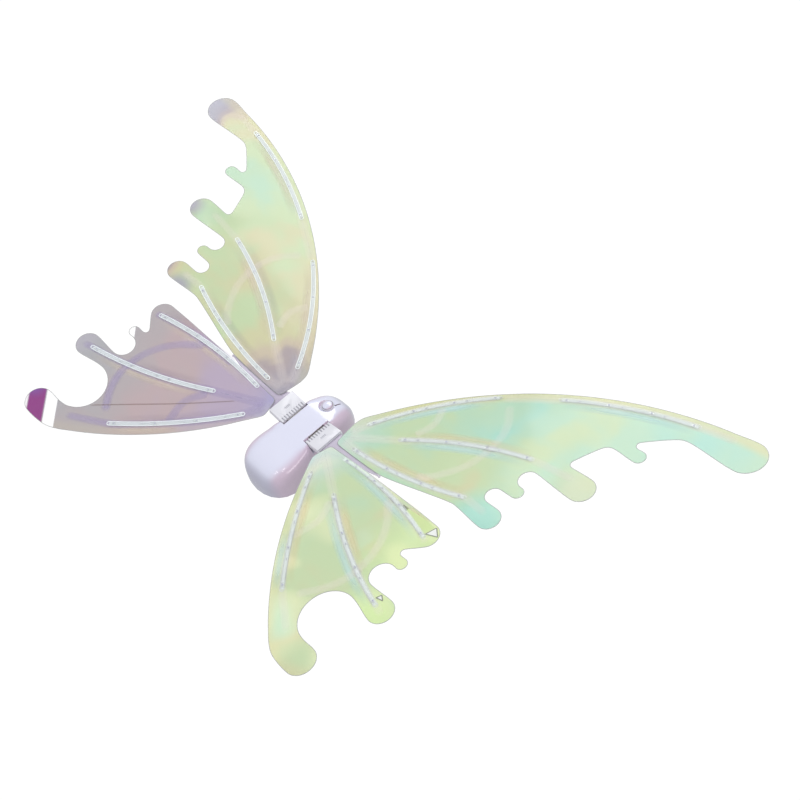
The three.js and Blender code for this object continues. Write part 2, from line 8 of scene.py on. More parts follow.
import bmesh
import bpy
import numpy as np
from mathutils import Matrix, Vector, noise
from mathutils.geometry import delaunay_2d_cdt
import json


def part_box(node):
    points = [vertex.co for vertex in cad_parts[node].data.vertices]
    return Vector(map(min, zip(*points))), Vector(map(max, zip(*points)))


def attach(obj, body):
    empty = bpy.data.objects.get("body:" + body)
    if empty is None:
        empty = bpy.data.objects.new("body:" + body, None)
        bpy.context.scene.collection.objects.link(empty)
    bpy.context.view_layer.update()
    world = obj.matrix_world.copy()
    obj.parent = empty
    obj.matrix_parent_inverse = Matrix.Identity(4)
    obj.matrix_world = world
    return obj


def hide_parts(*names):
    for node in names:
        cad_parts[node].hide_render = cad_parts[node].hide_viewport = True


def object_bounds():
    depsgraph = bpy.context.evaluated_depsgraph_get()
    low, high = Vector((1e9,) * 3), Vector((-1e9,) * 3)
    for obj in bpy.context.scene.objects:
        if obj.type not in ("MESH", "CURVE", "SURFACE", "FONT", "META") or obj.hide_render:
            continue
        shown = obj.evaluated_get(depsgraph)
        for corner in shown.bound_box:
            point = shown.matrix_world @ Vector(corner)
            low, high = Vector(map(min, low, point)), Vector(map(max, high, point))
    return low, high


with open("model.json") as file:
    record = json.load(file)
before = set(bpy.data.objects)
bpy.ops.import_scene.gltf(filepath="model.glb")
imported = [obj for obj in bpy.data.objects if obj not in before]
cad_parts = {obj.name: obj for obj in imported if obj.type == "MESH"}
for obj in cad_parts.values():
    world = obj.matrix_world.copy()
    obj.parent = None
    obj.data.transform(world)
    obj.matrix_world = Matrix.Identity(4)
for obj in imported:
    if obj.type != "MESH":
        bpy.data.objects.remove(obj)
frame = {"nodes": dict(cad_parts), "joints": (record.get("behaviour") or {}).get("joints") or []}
cad_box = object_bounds()

MM = 0.001
SIDES = {"right": 1, "left": -1}
PLUG_AXES = {j["child"]: Vector(j["axis"]) for j in frame["joints"] if j["name"].startswith("plug_")}


def new_object(name, data):
    thing = bpy.data.objects.new(name, data)
    bpy.context.collection.objects.link(thing)
    return thing


# ---------- camera, light and floor ----------
CAMERA_PLACE = Vector((0.834, -1.159, -0.344))
CAMERA_TARGET = Vector((0.0568, -0.034, 0.0907))
CAMERA_ROLL = math.radians(-49.46)
CAMERA_LENS = 58.5


def make_camera():
    data = bpy.data.cameras.new("camera")
    data.lens = CAMERA_LENS
    data.sensor_width = 36
    camera = new_object("camera", data)
    back = (CAMERA_PLACE - CAMERA_TARGET).normalized()
    level = Vector((0, 0, 1)).cross(back).normalized()
    upright = back.cross(level)
    right = level * math.cos(CAMERA_ROLL) - upright * math.sin(CAMERA_ROLL)
    up = upright * math.cos(CAMERA_ROLL) + level * math.sin(CAMERA_ROLL)
    turn = Matrix((right, up, back)).transposed().to_4x4()
    camera.matrix_world = Matrix.Translation(CAMERA_PLACE) @ turn
    bpy.context.scene.camera = camera


def area_light(name, place, target, size, power, colour=(1, 1, 1)):
    data = bpy.data.lights.new(name, "AREA")
    data.shape = "RECTANGLE"
    data.size, data.size_y = size
    data.energy = power
    data.color = colour
    light = new_object(name, data)
    light.location = place
    light.rotation_mode = "QUATERNION"
    light.rotation_quaternion = (Vector(place) - Vector(target)).to_track_quat("Z", "Y")


def make_light():
    scene = bpy.context.scene
    scene.view_settings.view_transform = "Standard"
    world = bpy.data.worlds.new("studio")
    scene.world = world
    world.use_nodes = True
    nodes, links = world.node_tree.nodes, world.node_tree.links
    fill = nodes["Background"]
    fill.inputs["Color"].default_value = (0.95, 0.97, 1.0, 1)
    fill.inputs["Strength"].default_value = 0.7
    seen = nodes.new("ShaderNodeBackground")
    seen.inputs["Color"].default_value = (1, 1, 1, 1)
    seen.inputs["Strength"].default_value = 1.05
    path = nodes.new("ShaderNodeLightPath")
    mix = nodes.new("ShaderNodeMixShader")
    links.new(path.outputs["Is Camera Ray"], mix.inputs[0])
    links.new(fill.outputs[0], mix.inputs[1])
    links.new(seen.outputs[0], mix.inputs[2])
    links.new(mix.outputs[0], nodes["World Output"].inputs["Surface"])
    area_light("key", (-0.9, -1.9, 1.2), (0, 0, 0), (1.6, 1.0), 18)
    area_light("side", (1.9, -1.3, 0.4), (0.1, 0, 0), (0.5, 1.4), 6, (1, 0.98, 0.96))
    area_light("window", (0.28, -0.85, -0.15), (0, -0.03, -0.04), (0.05, 0.16), 0.5)
    area_light("window_low", (0.05, -0.95, -0.52), (0, -0.03, -0.05), (0.05, 0.2), 0.5)
    # A faint light in the case keeps the gaps beside the plugs from going black.
    area_light("inside", (0, -0.012, 0.018), (0, -0.034, 0.01), (0.012, 0.02), 0.004)


def make_floor():
    floor_z = cad_box[0].z - 0.45
    bpy.ops.mesh.primitive_plane_add(size=2.8, location=(0, 0, floor_z))
    floor = bpy.context.object
    floor.name = "floor"
    material = bpy.data.materials.new("floor_white")
    material.use_nodes = True
    shader = material.node_tree.nodes["Principled BSDF"]
    shader.inputs["Base Color"].default_value = (0.86, 0.86, 0.87, 1)
    shader.inputs["Roughness"].default_value = 0.9
    floor.data.materials.append(material)


# ---------- materials ----------
def linear(r, g, b, a=1.0):
    """A colour given as 0-255 screen values."""
    def one(c):
        c /= 255
        return c / 12.92 if c <= 0.04045 else ((c + 0.055) / 1.055) ** 2.4
    return (one(r), one(g), one(b), a)


class Nodes:
    """A material being built, with short names for its commonest nodes."""

    def __init__(self, name, roughness=0.5, **values):
        self.material = bpy.data.materials.new(name)
        self.material.use_nodes = True
        self.tree = self.material.node_tree
        self.shader = self.tree.nodes["Principled BSDF"]
        self.shader.inputs["Roughness"].default_value = roughness
        for key, value in values.items():
            self.shader.inputs[key.replace("_", " ")].default_value = value
        self.place = self.add("ShaderNodeTexCoord").outputs["Object"]

    def add(self, kind, **settings):
        node = self.tree.nodes.new(kind)
        for key, value in settings.items():
            setattr(node, key, value)
        return node

    def link(self, source, target):
        self.tree.links.new(source, target)

    def put(self, target, value):
        if hasattr(value, "is_linked") or isinstance(value, bpy.types.NodeSocket):
            self.link(value, target)
        else:
            target.default_value = value

    def noise(self, scale, detail=2.0, stretch=(1, 1, 1), distortion=0.0):
        mapping = self.add("ShaderNodeMapping")
        self.link(self.place, mapping.inputs["Vector"])
        mapping.inputs["Scale"].default_value = stretch
        node = self.add("ShaderNodeTexNoise")
        self.link(mapping.outputs[0], node.inputs["Vector"])
        node.inputs["Scale"].default_value = scale
        node.inputs["Detail"].default_value = detail
        node.inputs["Distortion"].default_value = distortion
        return node.outputs["Fac"]

    def math(self, operation, a, b=0.0, clamp=False):
        node = self.add("ShaderNodeMath", operation=operation, use_clamp=clamp)
        self.put(node.inputs[0], a)
        self.put(node.inputs[1], b)
        return node.outputs[0]

    def times(self, a, b, clamp=False):
        return self.math("MULTIPLY", a, b, clamp)

    def plus(self, a, b, clamp=False):
        return self.math("ADD", a, b, clamp)

    def minus(self, a, b, clamp=False):
        return self.math("SUBTRACT", a, b, clamp)

    def absolute(self, a):
        return self.math("ABSOLUTE", a)

    def ramp(self, factor, stops, interpolation="EASE"):
        node = self.add("ShaderNodeValToRGB")
        band = node.color_ramp
        band.interpolation = interpolation
        while len(band.elements) < len(stops):
            band.elements.new(0.5)
        for element, (at, colour) in zip(band.elements, stops):
            element.position = at
            element.color = colour
        self.put(node.inputs[0], factor)
        return node.outputs["Color"]

    def mix(self, factor, a, b, blend="MIX"):
        node = self.add("ShaderNodeMix", data_type="RGBA", blend_type=blend)
        self.put(node.inputs["Factor"], factor)
        self.put(node.inputs[6], a)
        self.put(node.inputs[7], b)
        return node.outputs[2]

    def mottled(self, factor, light, dark):
        return self.mix(factor, linear(*light), linear(*dark))

    def span(self, value, low, high):
        """0 at low, 1 at high, smooth between."""
        node = self.add("ShaderNodeMapRange", interpolation_type="SMOOTHSTEP")
        self.put(node.inputs["Value"], value)
        node.inputs["From Min"].default_value = low
        node.inputs["From Max"].default_value = high
        return node.outputs["Result"]

    def axis(self, name):
        node = self.add("ShaderNodeSeparateXYZ")
        self.link(self.place, node.inputs[0])
        return node.outputs[name]

    def reach(self, centre=(0, 0), stretch=1.0):
        """Distance in metres, seen from the front, from a place on either side."""
        place = self.times(self.minus(self.absolute(self.axis("X")), centre[0]), stretch)
        height = self.minus(self.axis("Z"), centre[1])
        return self.math("SQRT", self.plus(self.times(place, place),
                                           self.times(height, height)))

    def along(self, u, v):
        """Distance in metres along a direction that leads outwards and up, on either side."""
        size = math.hypot(u, v)
        return self.plus(self.times(self.absolute(self.axis("X")), u / size),
                         self.times(self.axis("Z"), v / size))

    def bump(self, height, distance, strength=0.3):
        node = self.add("ShaderNodeBump")
        node.inputs["Distance"].default_value = distance
        node.inputs["Strength"].default_value = strength
        self.link(height, node.inputs["Height"])
        self.link(node.outputs[0], self.shader.inputs["Normal"])

    def colour(self, value):
        self.put(self.shader.inputs["Base Color"], value)

    def alpha(self, value):
        self.put(self.shader.inputs["Alpha"], value)

    # Emission on a part that is no lamp: painted light that lifts it out of the shade that the sheets around
    # it cast.
    def painted_glow(self, colour, strength):
        self.shader.inputs["Emission Color"].default_value = linear(*colour)
        self.shader.inputs["Emission Strength"].default_value = strength


# What the film shows as its thickness changes, in order.
FILM_COLOURS = [
    (0.0, linear(168, 218, 202)), (0.2, linear(184, 217, 188)), (0.4, linear(198, 216, 172)),
    (0.56, linear(210, 208, 166)), (0.68, linear(206, 193, 170)), (0.78, linear(178, 165, 166)),
    (0.9, linear(168, 162, 174)), (1.0, linear(172, 170, 184)),
]
MAUVE_COLOURS = [
    (0.0, linear(172, 168, 204)), (0.3, linear(186, 170, 190)), (0.48, linear(192, 172, 174)),
    (0.62, linear(184, 174, 176)), (0.8, linear(178, 177, 180)), (1.0, linear(184, 180, 188)),
]
EDGE_YELLOW = linear(216, 212, 160)
LIME = linear(222, 244, 170)
PLUM = linear(146, 62, 134)
PALE = linear(206, 224, 220)
UPPER_EDGE = ((0.4337, -0.228), 0.477)
LOWER_EDGE = ((0.4415, 0.172), 0.450)
LEAN = 1.017


def film_material(name, colours, bias, spread, edge, edge_strength, pale_root=0.0, alpha=0.9, touches=()):
    """Clear dichroic film: colour bands that drift with its thickness, and a warm line along the rim.

    Each touch takes the material, its colour, its opacity and the large patches, and gives back
    the colour and the opacity.
    """
    m = Nodes(name, 0.16, Specular_IOR_Level=0.5, Coat_Weight=0.25, Coat_Roughness=0.08,
              Thin_Film_Thickness=380.0, Thin_Film_IOR=1.4, IOR=1.4)
    patch = m.noise(7.5, 2.0, (1, 1, 1.3), 0.6)
    small = m.noise(22.0, 2.0, (1, 1, 1.2), 0.4)
    drift = m.times(m.minus(patch, 0.5), spread)
    drift = m.plus(drift, m.times(m.minus(small, 0.5), spread * 0.28))
    hue = m.plus(bias(m), drift, clamp=True)
    base = m.ramp(hue, colours)
    centre, radius = edge
    rim = m.span(m.reach(centre, LEAN), radius - 0.015, radius - 0.004)
    base = m.mix(m.times(rim, edge_strength), base, EDGE_YELLOW)
    base = m.mix(m.times(m.span(m.reach(), 0.105, 0.05), pale_root), base, PALE)
    opacity = m.plus(m.times(patch, 0.08), alpha - 0.04)
    for touch in touches:
        base, opacity = touch(m, base, opacity, patch)
    m.colour(base)
    m.alpha(opacity)
    m.bump(m.noise(12.0, 2.0), 0.0015, 0.2)
    return m.material


def stepped(m, value, stops):
    """A value that runs through (place, height) stops."""
    grey = [(at, (high, high, high, 1)) for at, high in stops]
    return m.ramp(value, grey)


def left_upper_bias(m):
    """Mauve at the root, then yellow, then green, and grey at the ends of the lobes."""
    run = m.times(m.reach(), 2.0)
    inward = stepped(m, run, [(0.1, 0.92), (0.18, 0.84), (0.26, 0.66), (0.36, 0.56), (0.5, 0.45),
                              (0.66, 0.3), (0.78, 0.38), (0.87, 0.58), (0.93, 0.7)])
    lobes = m.span(m.along(1.0, -0.72), 0.188, 0.222)
    return m.plus(inward, m.times(lobes, 0.4))


def grey_ends(m, base, opacity, patch):
    """The upper panel's lobes end in grey."""
    for x, z, far in ((0.247, 0.0145, 0.026), (0.330, 0.103, 0.026), (0.428, 0.2, 0.036)):
        base = m.mix(m.span(m.reach((x, z)), far, 0.004), base, linear(172, 170, 180))
    return base, opacity


def spot(m, x, z, radius, soft=0.002):
    """1 inside a round place, 0 outside."""
    return m.span(m.reach((x, z)), radius + soft, radius - soft)


def clear_where(m, mask, base, opacity):
    return (m.mix(mask, base, linear(252, 252, 252)),
            m.times(opacity, m.minus(1.0, m.times(mask, 0.75))))


def plum_tail(m, base, opacity, patch):
    """The tail's end turns plum behind one clear fold."""
    out = m.along(1, -1)
    tail = m.span(m.reach((0.237, -0.194)), 0.045, 0.040)
    plum = m.times(m.span(out, 0.2965, 0.3), tail)
    fold = m.times(m.times(m.span(out, 0.2835, 0.2845), m.span(out, 0.2985, 0.2965)), tail)
    tip = m.times(m.span(out, 0.3165, 0.3195), tail)
    base = m.mix(plum, base, m.mix(m.span(patch, 0.45, 0.6), PLUM, linear(128, 92, 168)))
    return clear_where(m, m.math("MAXIMUM", fold, m.times(tip, 0.85)), base, opacity)


def small_lobe_fold(m, base, opacity, patch):
    half = m.times(spot(m, 0.233, -0.0595, 0.0085), m.span(m.along(1, -1), 0.2058, 0.2066))
    return clear_where(m, half, base, opacity)


def lime_lobes(m, base, opacity, patch):
    """Where the lower panel catches the light towards its lobes."""
    near = m.span(m.reach((0.235, -0.045)), 0.075, 0.015)
    far = m.span(m.reach((0.255, -0.125)), 0.05, 0.01)
    painted_glow = m.math("MAXIMUM", m.times(near, 0.5), m.times(far, 0.8))
    return m.mix(m.times(painted_glow, 0.85), base, LIME), opacity


def pale_glint_patches(m, base, opacity, patch):
    """Painted glints: lighter yellow and mint patches on the film, placed by noise."""
    yellow = m.span(m.noise(11.0, 1.0, (1, 1, 1.2), 0.5), 0.48, 0.62)
    mint = m.span(m.noise(13.0, 1.0, (1.1, 1, 0.9), 0.5), 0.56, 0.7)
    base = m.mix(m.times(yellow, 0.7), base, linear(240, 242, 196))
    return m.mix(m.times(mint, 0.6), base, linear(190, 238, 214)), opacity


def tinted_lobes(m, base, opacity, patch):
    """Teal and cream ends on the upper panel's big lobes."""
    teal = m.span(m.reach((0.255, 0.020)), 0.05, 0.012)
    cream = m.span(m.reach((0.314, 0.108)), 0.04, 0.008)
    base = m.mix(m.times(teal, 0.85), base, linear(160, 216, 202))
    return m.mix(m.times(cream, 0.6), base, linear(208, 208, 168)), opacity


def right_lower_bias(m):
    """Minty near the root and warmer towards the tail."""
    return stepped(m, m.times(m.reach(), 2.5), [(0.2, 0.32), (0.5, 0.42), (0.9, 0.5)])


def left_lower_bias(m):
    return stepped(m, m.times(m.reach(), 3.0), [(0.1, 0.0), (0.3, 0.3), (0.5, 0.5), (0.75, 0.75), (0.9, 0.9)])


def band_material(name, colour, strength, painted_glow=0.0, sharp=1.0, ends=30.0):
    """A band on the film, fading to its sides: printed veins, and bands of painted light and shade beside the
    strips. Its glow is painted light.
    """
    m = Nodes(name, 0.35)
    across = m.add("ShaderNodeSeparateXYZ")
    m.link(m.add("ShaderNodeTexCoord").outputs["UV"], across.inputs[0])
    side = m.minus(m.times(across.outputs["Y"], 2.0), 1.0)
    core = m.minus(1.0, m.math("POWER", m.absolute(side), sharp), clamp=True)
    to_end = m.math("MINIMUM", across.outputs["X"], m.minus(1.0, across.outputs["X"]))
    core = m.times(core, m.times(to_end, ends, clamp=True))
    blotch = m.plus(m.times(m.noise(14.0, 2.0), 1.1), 0.4)
    m.colour(m.mix(m.times(m.noise(40.0), 0.15), linear(*colour), linear(255, 255, 255)))
    m.alpha(m.times(m.times(core, blotch), strength, clamp=True))
    m.painted_glow(colour, painted_glow)
    return m.material


def line_material(name, colour, alpha):
    m = Nodes(name, 0.4)
    m.colour(m.mix(m.noise(60.0), linear(*colour), linear(*(c * 0.92 for c in colour))))
    m.alpha(alpha)
    return m.material


def edge_material():
    m = Nodes("film_edge", 0.3, Coat_Weight=0.2)
    m.colour(m.mottled(m.noise(30.0), (190, 196, 184), (194, 188, 198)))
    m.alpha(0.5)
    return m.material


def shell_material():
    """Pearl lacquer, cool white in front, with painted pearl sheen and shade: pink-mauve where the sides turn
    away, darker grey-lilac at the top and bottom ends.
    """
    m = Nodes("pearl_shell", 0.24, Coat_Weight=1.0, Coat_Roughness=0.05, Specular_IOR_Level=0.5)
    geometry = m.add("ShaderNodeNewGeometry")
    parts = m.add("ShaderNodeSeparateXYZ")
    m.link(geometry.outputs["Normal"], parts.inputs[0])
    # Painted sheen and shade: the colour follows which way the surface faces, not the lacquer's own colour.
    turned = m.span(m.absolute(parts.outputs["X"]), 0.1, 0.62)
    ends = m.span(m.absolute(parts.outputs["Z"]), 0.55, 1.0)
    front = m.mottled(m.noise(18.0, 2.0), (222, 222, 238), (214, 215, 233))
    flank_sheen_and_shade = m.mottled(m.noise(26.0, 3.0), (200, 182, 204), (212, 190, 204))
    m.colour(m.mix(ends, m.mix(turned, front, flank_sheen_and_shade), linear(176, 174, 192)))
    m.bump(m.noise(420.0, 2.0), 0.00004, 0.15)
    return m.material


def satin_plastic(name, light, dark, roughness=0.45, grain=900.0, coat=0.0):
    m = Nodes(name, roughness, Coat_Weight=coat)
    m.colour(m.mottled(m.noise(45.0, 4.0), light, dark))
    m.put(m.shader.inputs["Roughness"], m.plus(m.times(m.noise(120.0, 3.0), 0.12), roughness - 0.06))
    m.bump(m.noise(grain, 3.0), 0.00005, 0.3)
    return m.material


def metal(name, light, dark, roughness=0.32):
    m = Nodes(name, roughness, Metallic=1.0)
    m.colour(m.mottled(m.noise(300.0, 3.0, (1, 1, 12)), light, dark))
    m.bump(m.noise(500.0, 2.0, (1, 1, 10)), 0.00004, 0.3)
    return m.material


def cover_material():
    m = Nodes("milky_cover", 0.22, Coat_Weight=0.6, Coat_Roughness=0.1, IOR=1.4)
    m.colour(m.mottled(m.noise(80.0, 2.0), (252, 254, 255), (244, 250, 252)))
    m.alpha(m.plus(m.times(m.noise(60.0, 1.0), 0.05), 0.07))
    return m.material


# A rim that glows though it is no lamp: painted light, so that its shaded underside does not show darker than
# the film.
def cover_rim_material(name, alpha, painted_glow):
    m = Nodes(name, 0.3, Coat_Weight=0.4)
    m.colour(m.mottled(m.noise(90.0, 2.0), (252, 254, 255), (244, 250, 252)))
    m.alpha(alpha)
    m.painted_glow((232, 246, 240), painted_glow)
    return m.material


# Tape that glows though it is no lamp: painted light that makes up for the shade of the covers over it.
def tape_material(name, alpha, painted_glow):
    m = Nodes(name, 0.4)
    m.colour(m.mottled(m.noise(60.0, 3.0), (250, 253, 254), (240, 247, 248)))
    m.alpha(m.plus(m.times(m.noise(20.0), 0.08), alpha))
    m.painted_glow((226, 243, 240), painted_glow)
    return m.material


def root_material(name, light, dark):
    m = Nodes(name, 0.25, Coat_Weight=0.4)
    m.colour(m.mottled(m.noise(35.0, 3.0), light, dark))
    m.alpha(m.plus(m.times(m.noise(60.0), 0.15), 0.68))
    return m.material


MATERIALS = {
    # The four panels are one film: their different palettes and biases are its colour shift with viewing
    # angle, painted in per panel as reflection colour.
    "upper_film_right": film_material("film_right_upper", FILM_COLOURS, lambda m: 0.25, 0.95, UPPER_EDGE,
                                      0.75, 0.55, touches=(tinted_lobes,)),
    "lower_film_right": film_material("film_right_lower", FILM_COLOURS, right_lower_bias, 0.85, LOWER_EDGE,
                                      0.5, 1.0, touches=(pale_glint_patches, lime_lobes)),
    "upper_film_left": film_material("film_left_upper", FILM_COLOURS, left_upper_bias, 0.85, UPPER_EDGE,
                                     0.3, touches=(grey_ends,)),
    "lower_film_left": film_material("film_left_lower", MAUVE_COLOURS, left_lower_bias, 0.7, LOWER_EDGE,
                                     0.15, touches=(small_lobe_fold, plum_tail)),
    # The veins are print; their glow is painted light against the shadow each ribbon casts on the film.
    "vein_pale": band_material("vein_pink", (236, 226, 220), 0.24, 0.2, 2.5),
    "vein_lilac": band_material("vein_lilac", (180, 166, 206), 0.4, 0.02, 2.5),
    # Fringes: bands of painted light and shade beside the strips.
    "warm_right": band_material("fold_shading_peach", (236, 214, 174), 0.42, 0.07, 1.5, 3.0),
    "cool_right": band_material("fold_shading_mint", (196, 226, 234), 0.5, 0.08, 1.5, 3.0),
    "warm_left": band_material("fold_shading_plum", (156, 142, 168), 0.14, 0.0, 1.5, 3.0),
    "cool_left": band_material("fold_shading_cream", (226, 212, 192), 0.42, 0.05, 1.5, 3.0),
    # A line of painted shade along a crease in the film.
    "crease": line_material("crease_shade_brown", (158, 136, 128), 0.42),
    "facet": line_material("facet_clear", (255, 255, 255), 0.8),
    "facet_line": line_material("facet_grey", (150, 156, 140), 0.75),
    "edge": edge_material(),
    "shell": shell_material(),
    "plug": satin_plastic("plug_white", (226, 225, 230), (214, 213, 220), 0.38, coat=0.3),
    # Grey for the painted shade on the comb's groove floors, and for the grip mark.
    "groove": satin_plastic("groove_grey", (186, 186, 194), (172, 172, 180), 0.6),
    "cover": cover_material(),
    # The same plate on both sides: the left copy is painted darker and more mauve, that side's shade and
    # reflection painted in.
    "root_right": root_material("root_plate_pale", (216, 208, 222), (202, 192, 212)),
    "root_left": root_material("root_plate_mauve_shaded", (198, 186, 204), (180, 168, 196)),
    # The right rims and tapes glow more than the left ones: painted light set per side for the same parts.
    "cover_rim_right": cover_rim_material("milky_rim_right", 0.14, 0.4),
    "cover_rim_left": cover_rim_material("milky_rim_left", 0.6, 0.25),
    "tape_right": tape_material("tape_right", 0.2, 0.4),
    "tape_left": tape_material("tape_left", 0.3, 0.15),
    # A painted highlight and a painted shadow beside the right panel's folded lobes.
    "lime": line_material("lime_fold", (226, 246, 176), 0.75),
    "fold_shade": line_material("fold_shade", (120, 128, 108), 0.45),
    "light_body": line_material("light_package", (246, 250, 250), 0.55),
    "phosphor": satin_plastic("light_phosphor", (160, 158, 190), (146, 142, 176), 0.3),
    "lead": line_material("lead_lilac", (236, 234, 240), 0.04),
    "solder": metal("solder", (214, 216, 214), (186, 188, 188)),
    "chip": satin_plastic("chip_black", (48, 48, 52), (34, 34, 38), 0.4),
    "chip_grey": satin_plastic("chip_grey", (178, 180, 188), (160, 162, 172), 0.4),
    "smoke": satin_plastic("indicator_smoke", (26, 26, 30), (16, 16, 20), 0.2, coat=1.0),
    "nylon": satin_plastic("nylon", (222, 221, 214), (206, 205, 198), 0.55),
    "steel": metal("steel", (200, 202, 206), (168, 170, 176)),
    "battery": satin_plastic("battery_sleeve", (64, 140, 104), (48, 118, 86), 0.3, coat=0.5),
    "board": satin_plastic("solder_mask", (30, 92, 58), (22, 74, 46), 0.35, coat=0.4),
}


# ---------- meshes ----------
def to_mesh(name, verts, faces, material, smooth=True, sharp=35):
    """A new object from points in millimetres, in one of MATERIALS."""
    mesh = bpy.data.meshes.new(name)
    mesh.from_pydata([Vector(v) * MM for v in verts], [], faces)
    mesh.validate()
    tidy_mesh(mesh)
    thing = new_object(name, mesh)
    mesh.materials.append(MATERIALS[material])
    shade(mesh, smooth, sharp)
    return thing


def tidy_mesh(mesh):
    bm = bmesh.new()
    bm.from_mesh(mesh)
    bmesh.ops.recalc_face_normals(bm, faces=bm.faces)
    bm.to_mesh(mesh)
    bm.free()


def weld(mesh, distance, degenerate=0.0):
    """Join points closer than a distance in millimetres, and drop slivers."""
    bm = bmesh.new()
    bm.from_mesh(mesh)
    bmesh.ops.remove_doubles(bm, verts=bm.verts, dist=distance * MM)
    if degenerate:
        bmesh.ops.dissolve_degenerate(bm, edges=bm.edges, dist=degenerate * MM)
    bmesh.ops.recalc_face_normals(bm, faces=bm.faces)
    bm.to_mesh(mesh)
    bm.free()


def shade(mesh, smooth=True, sharp=35):
    mesh.polygons.foreach_set("use_smooth", [smooth] * len(mesh.polygons))
    if smooth:
        mesh.set_sharp_from_angle(angle=math.radians(sharp))


def finish_piece(piece, body, slot, *nodes):
    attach(piece, body)
    if nodes:
        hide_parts(*nodes)
    return piece


def strip_of_rings(count, width):
    """Faces that join each ring of points to the next."""
    faces = []
    for r in range(count - 1):
        for k in range(width):
            m = (k + 1) % width
            faces.append((r * width + k, r * width + m, (r + 1) * width + m, (r + 1) * width + k))
    return faces


def join_parts(parts):
    """Lists of (verts, faces) as one."""
    verts, faces = [], []
    for part_verts, part_faces in parts:
        base = len(verts)
        verts += [tuple(v) for v in part_verts]
        faces += [tuple(base + i for i in f) for f in part_faces]
    return verts, faces


def refined_copy(node, name, material, bevel, body, slot, segments=2):
    """A CAD node's own shape with its edges rounded."""
    source = frame["nodes"][node]
    mesh = source.data.copy()
    mesh.materials.clear()
    mesh.materials.append(MATERIALS[material])
    bm = bmesh.new()
    bm.from_mesh(mesh)
    bmesh.ops.remove_doubles(bm, verts=bm.verts, dist=0.01 * MM)
    bmesh.ops.dissolve_limit(bm, angle_limit=math.radians(1), verts=bm.verts, edges=bm.edges)
    bm.to_mesh(mesh)
    bm.free()
    thing = new_object(name, mesh)
    modifier = thing.modifiers.new("round", "BEVEL")
    modifier.width = bevel * MM
    modifier.segments = segments
    modifier.limit_method = "ANGLE"
    modifier.angle_limit = math.radians(40)
    apply_modifiers(thing)
    shade(thing.data, True, 40)
    return finish_piece(thing, body, slot, node)


def apply_modifiers(thing):
    graph = bpy.context.evaluated_depsgraph_get()
    graph.update()
    mesh = bpy.data.meshes.new_from_object(thing.evaluated_get(graph))
    thing.modifiers.clear()
    thing.data = mesh


def carve(thing, cutters):
    for cutter in cutters:
        modifier = thing.modifiers.new("carve", "BOOLEAN")
        modifier.operation = "DIFFERENCE"
        modifier.solver = "MANIFOLD"
        modifier.object = cutter
        apply_modifiers(thing)
    for cutter in cutters:
        bpy.data.objects.remove(cutter)


# ---------- wing plane ----------
class Wing:
    """The plane that one side's panels lie in."""

    def __init__(self, side_name):
        self.name = side_name
        self.side = SIDES[side_name]
        self.body = f"wing_{side_name}"
        self.out = PLUG_AXES[self.body].normalized()
        self.front = self.out.cross(Vector((0, 0, 1))) * self.side
        self.root = Vector((10.9 * self.side, -34, 0))
        self.strips = [self.centreline(f"strip_cover_{i}_{side_name}") for i in range(1, 8)]
        points = self.flat(frame["nodes"][f"upper_film_{side_name}"])
        self.film_front = points[:, 2].max()
        self.loops = []

    def flat(self, node):
        """A CAD node's points as u, v, n in millimetres."""
        points = np.array([v.co for v in node.data.vertices]) / MM - np.array(self.root)
        basis = np.array([self.out, (0, 0, 1), self.front])
        return points @ basis.T

    def solid(self, u, v, n):
        return self.root + self.out * u + Vector((0, 0, v)) + self.front * n

    def centreline(self, node_name):
        """The curved middle line of a strip cover, as points from root to tip."""
        flat = self.flat(frame["nodes"][node_name])[:, :2]
        centre = flat.mean(axis=0)
        direction = np.linalg.svd(flat - centre, full_matrices=False)[2][0]
        if direction[0] < 0:
            direction = -direction
        across = np.array([-direction[1], direction[0]])
        t, s = (flat - centre) @ direction, (flat - centre) @ across
        bend = np.polyfit(t, s, 2)
        run = np.linspace(t.min() + COVER_HALF, t.max() - COVER_HALF, 41)
        return centre + np.outer(run, direction) + np.outer(np.polyval(bend, run), across)

    def outline(self, node_name):
        """The edge of a film panel, in order, from the CAD node's front face."""
        node = frame["nodes"][node_name]
        flat = np.round(self.flat(node), 3)
        top = flat[:, 2].max()
        count = {}
        for polygon in node.data.polygons:
            corners = [tuple(flat[i]) for i in polygon.vertices]
            if min(c[2] for c in corners) < top - 0.1:
                continue
            for a, b in zip(corners, corners[1:] + corners[:1]):
                if (b, a) in count:
                    del count[(b, a)]
                else:
                    count[(a, b)] = True
        follow = {a: b for a, b in count}
        start = next(iter(follow))
        loop, point = [start], follow[start]
        while point != start:
            loop.append(point)
            point = follow[point]
        loop = np.array(loop)[:, :2]
        area = np.sum(loop[:, 0] * np.roll(loop[:, 1], -1) - np.roll(loop[:, 0], -1) * loop[:, 1])
        return loop if area > 0 else loop[::-1]


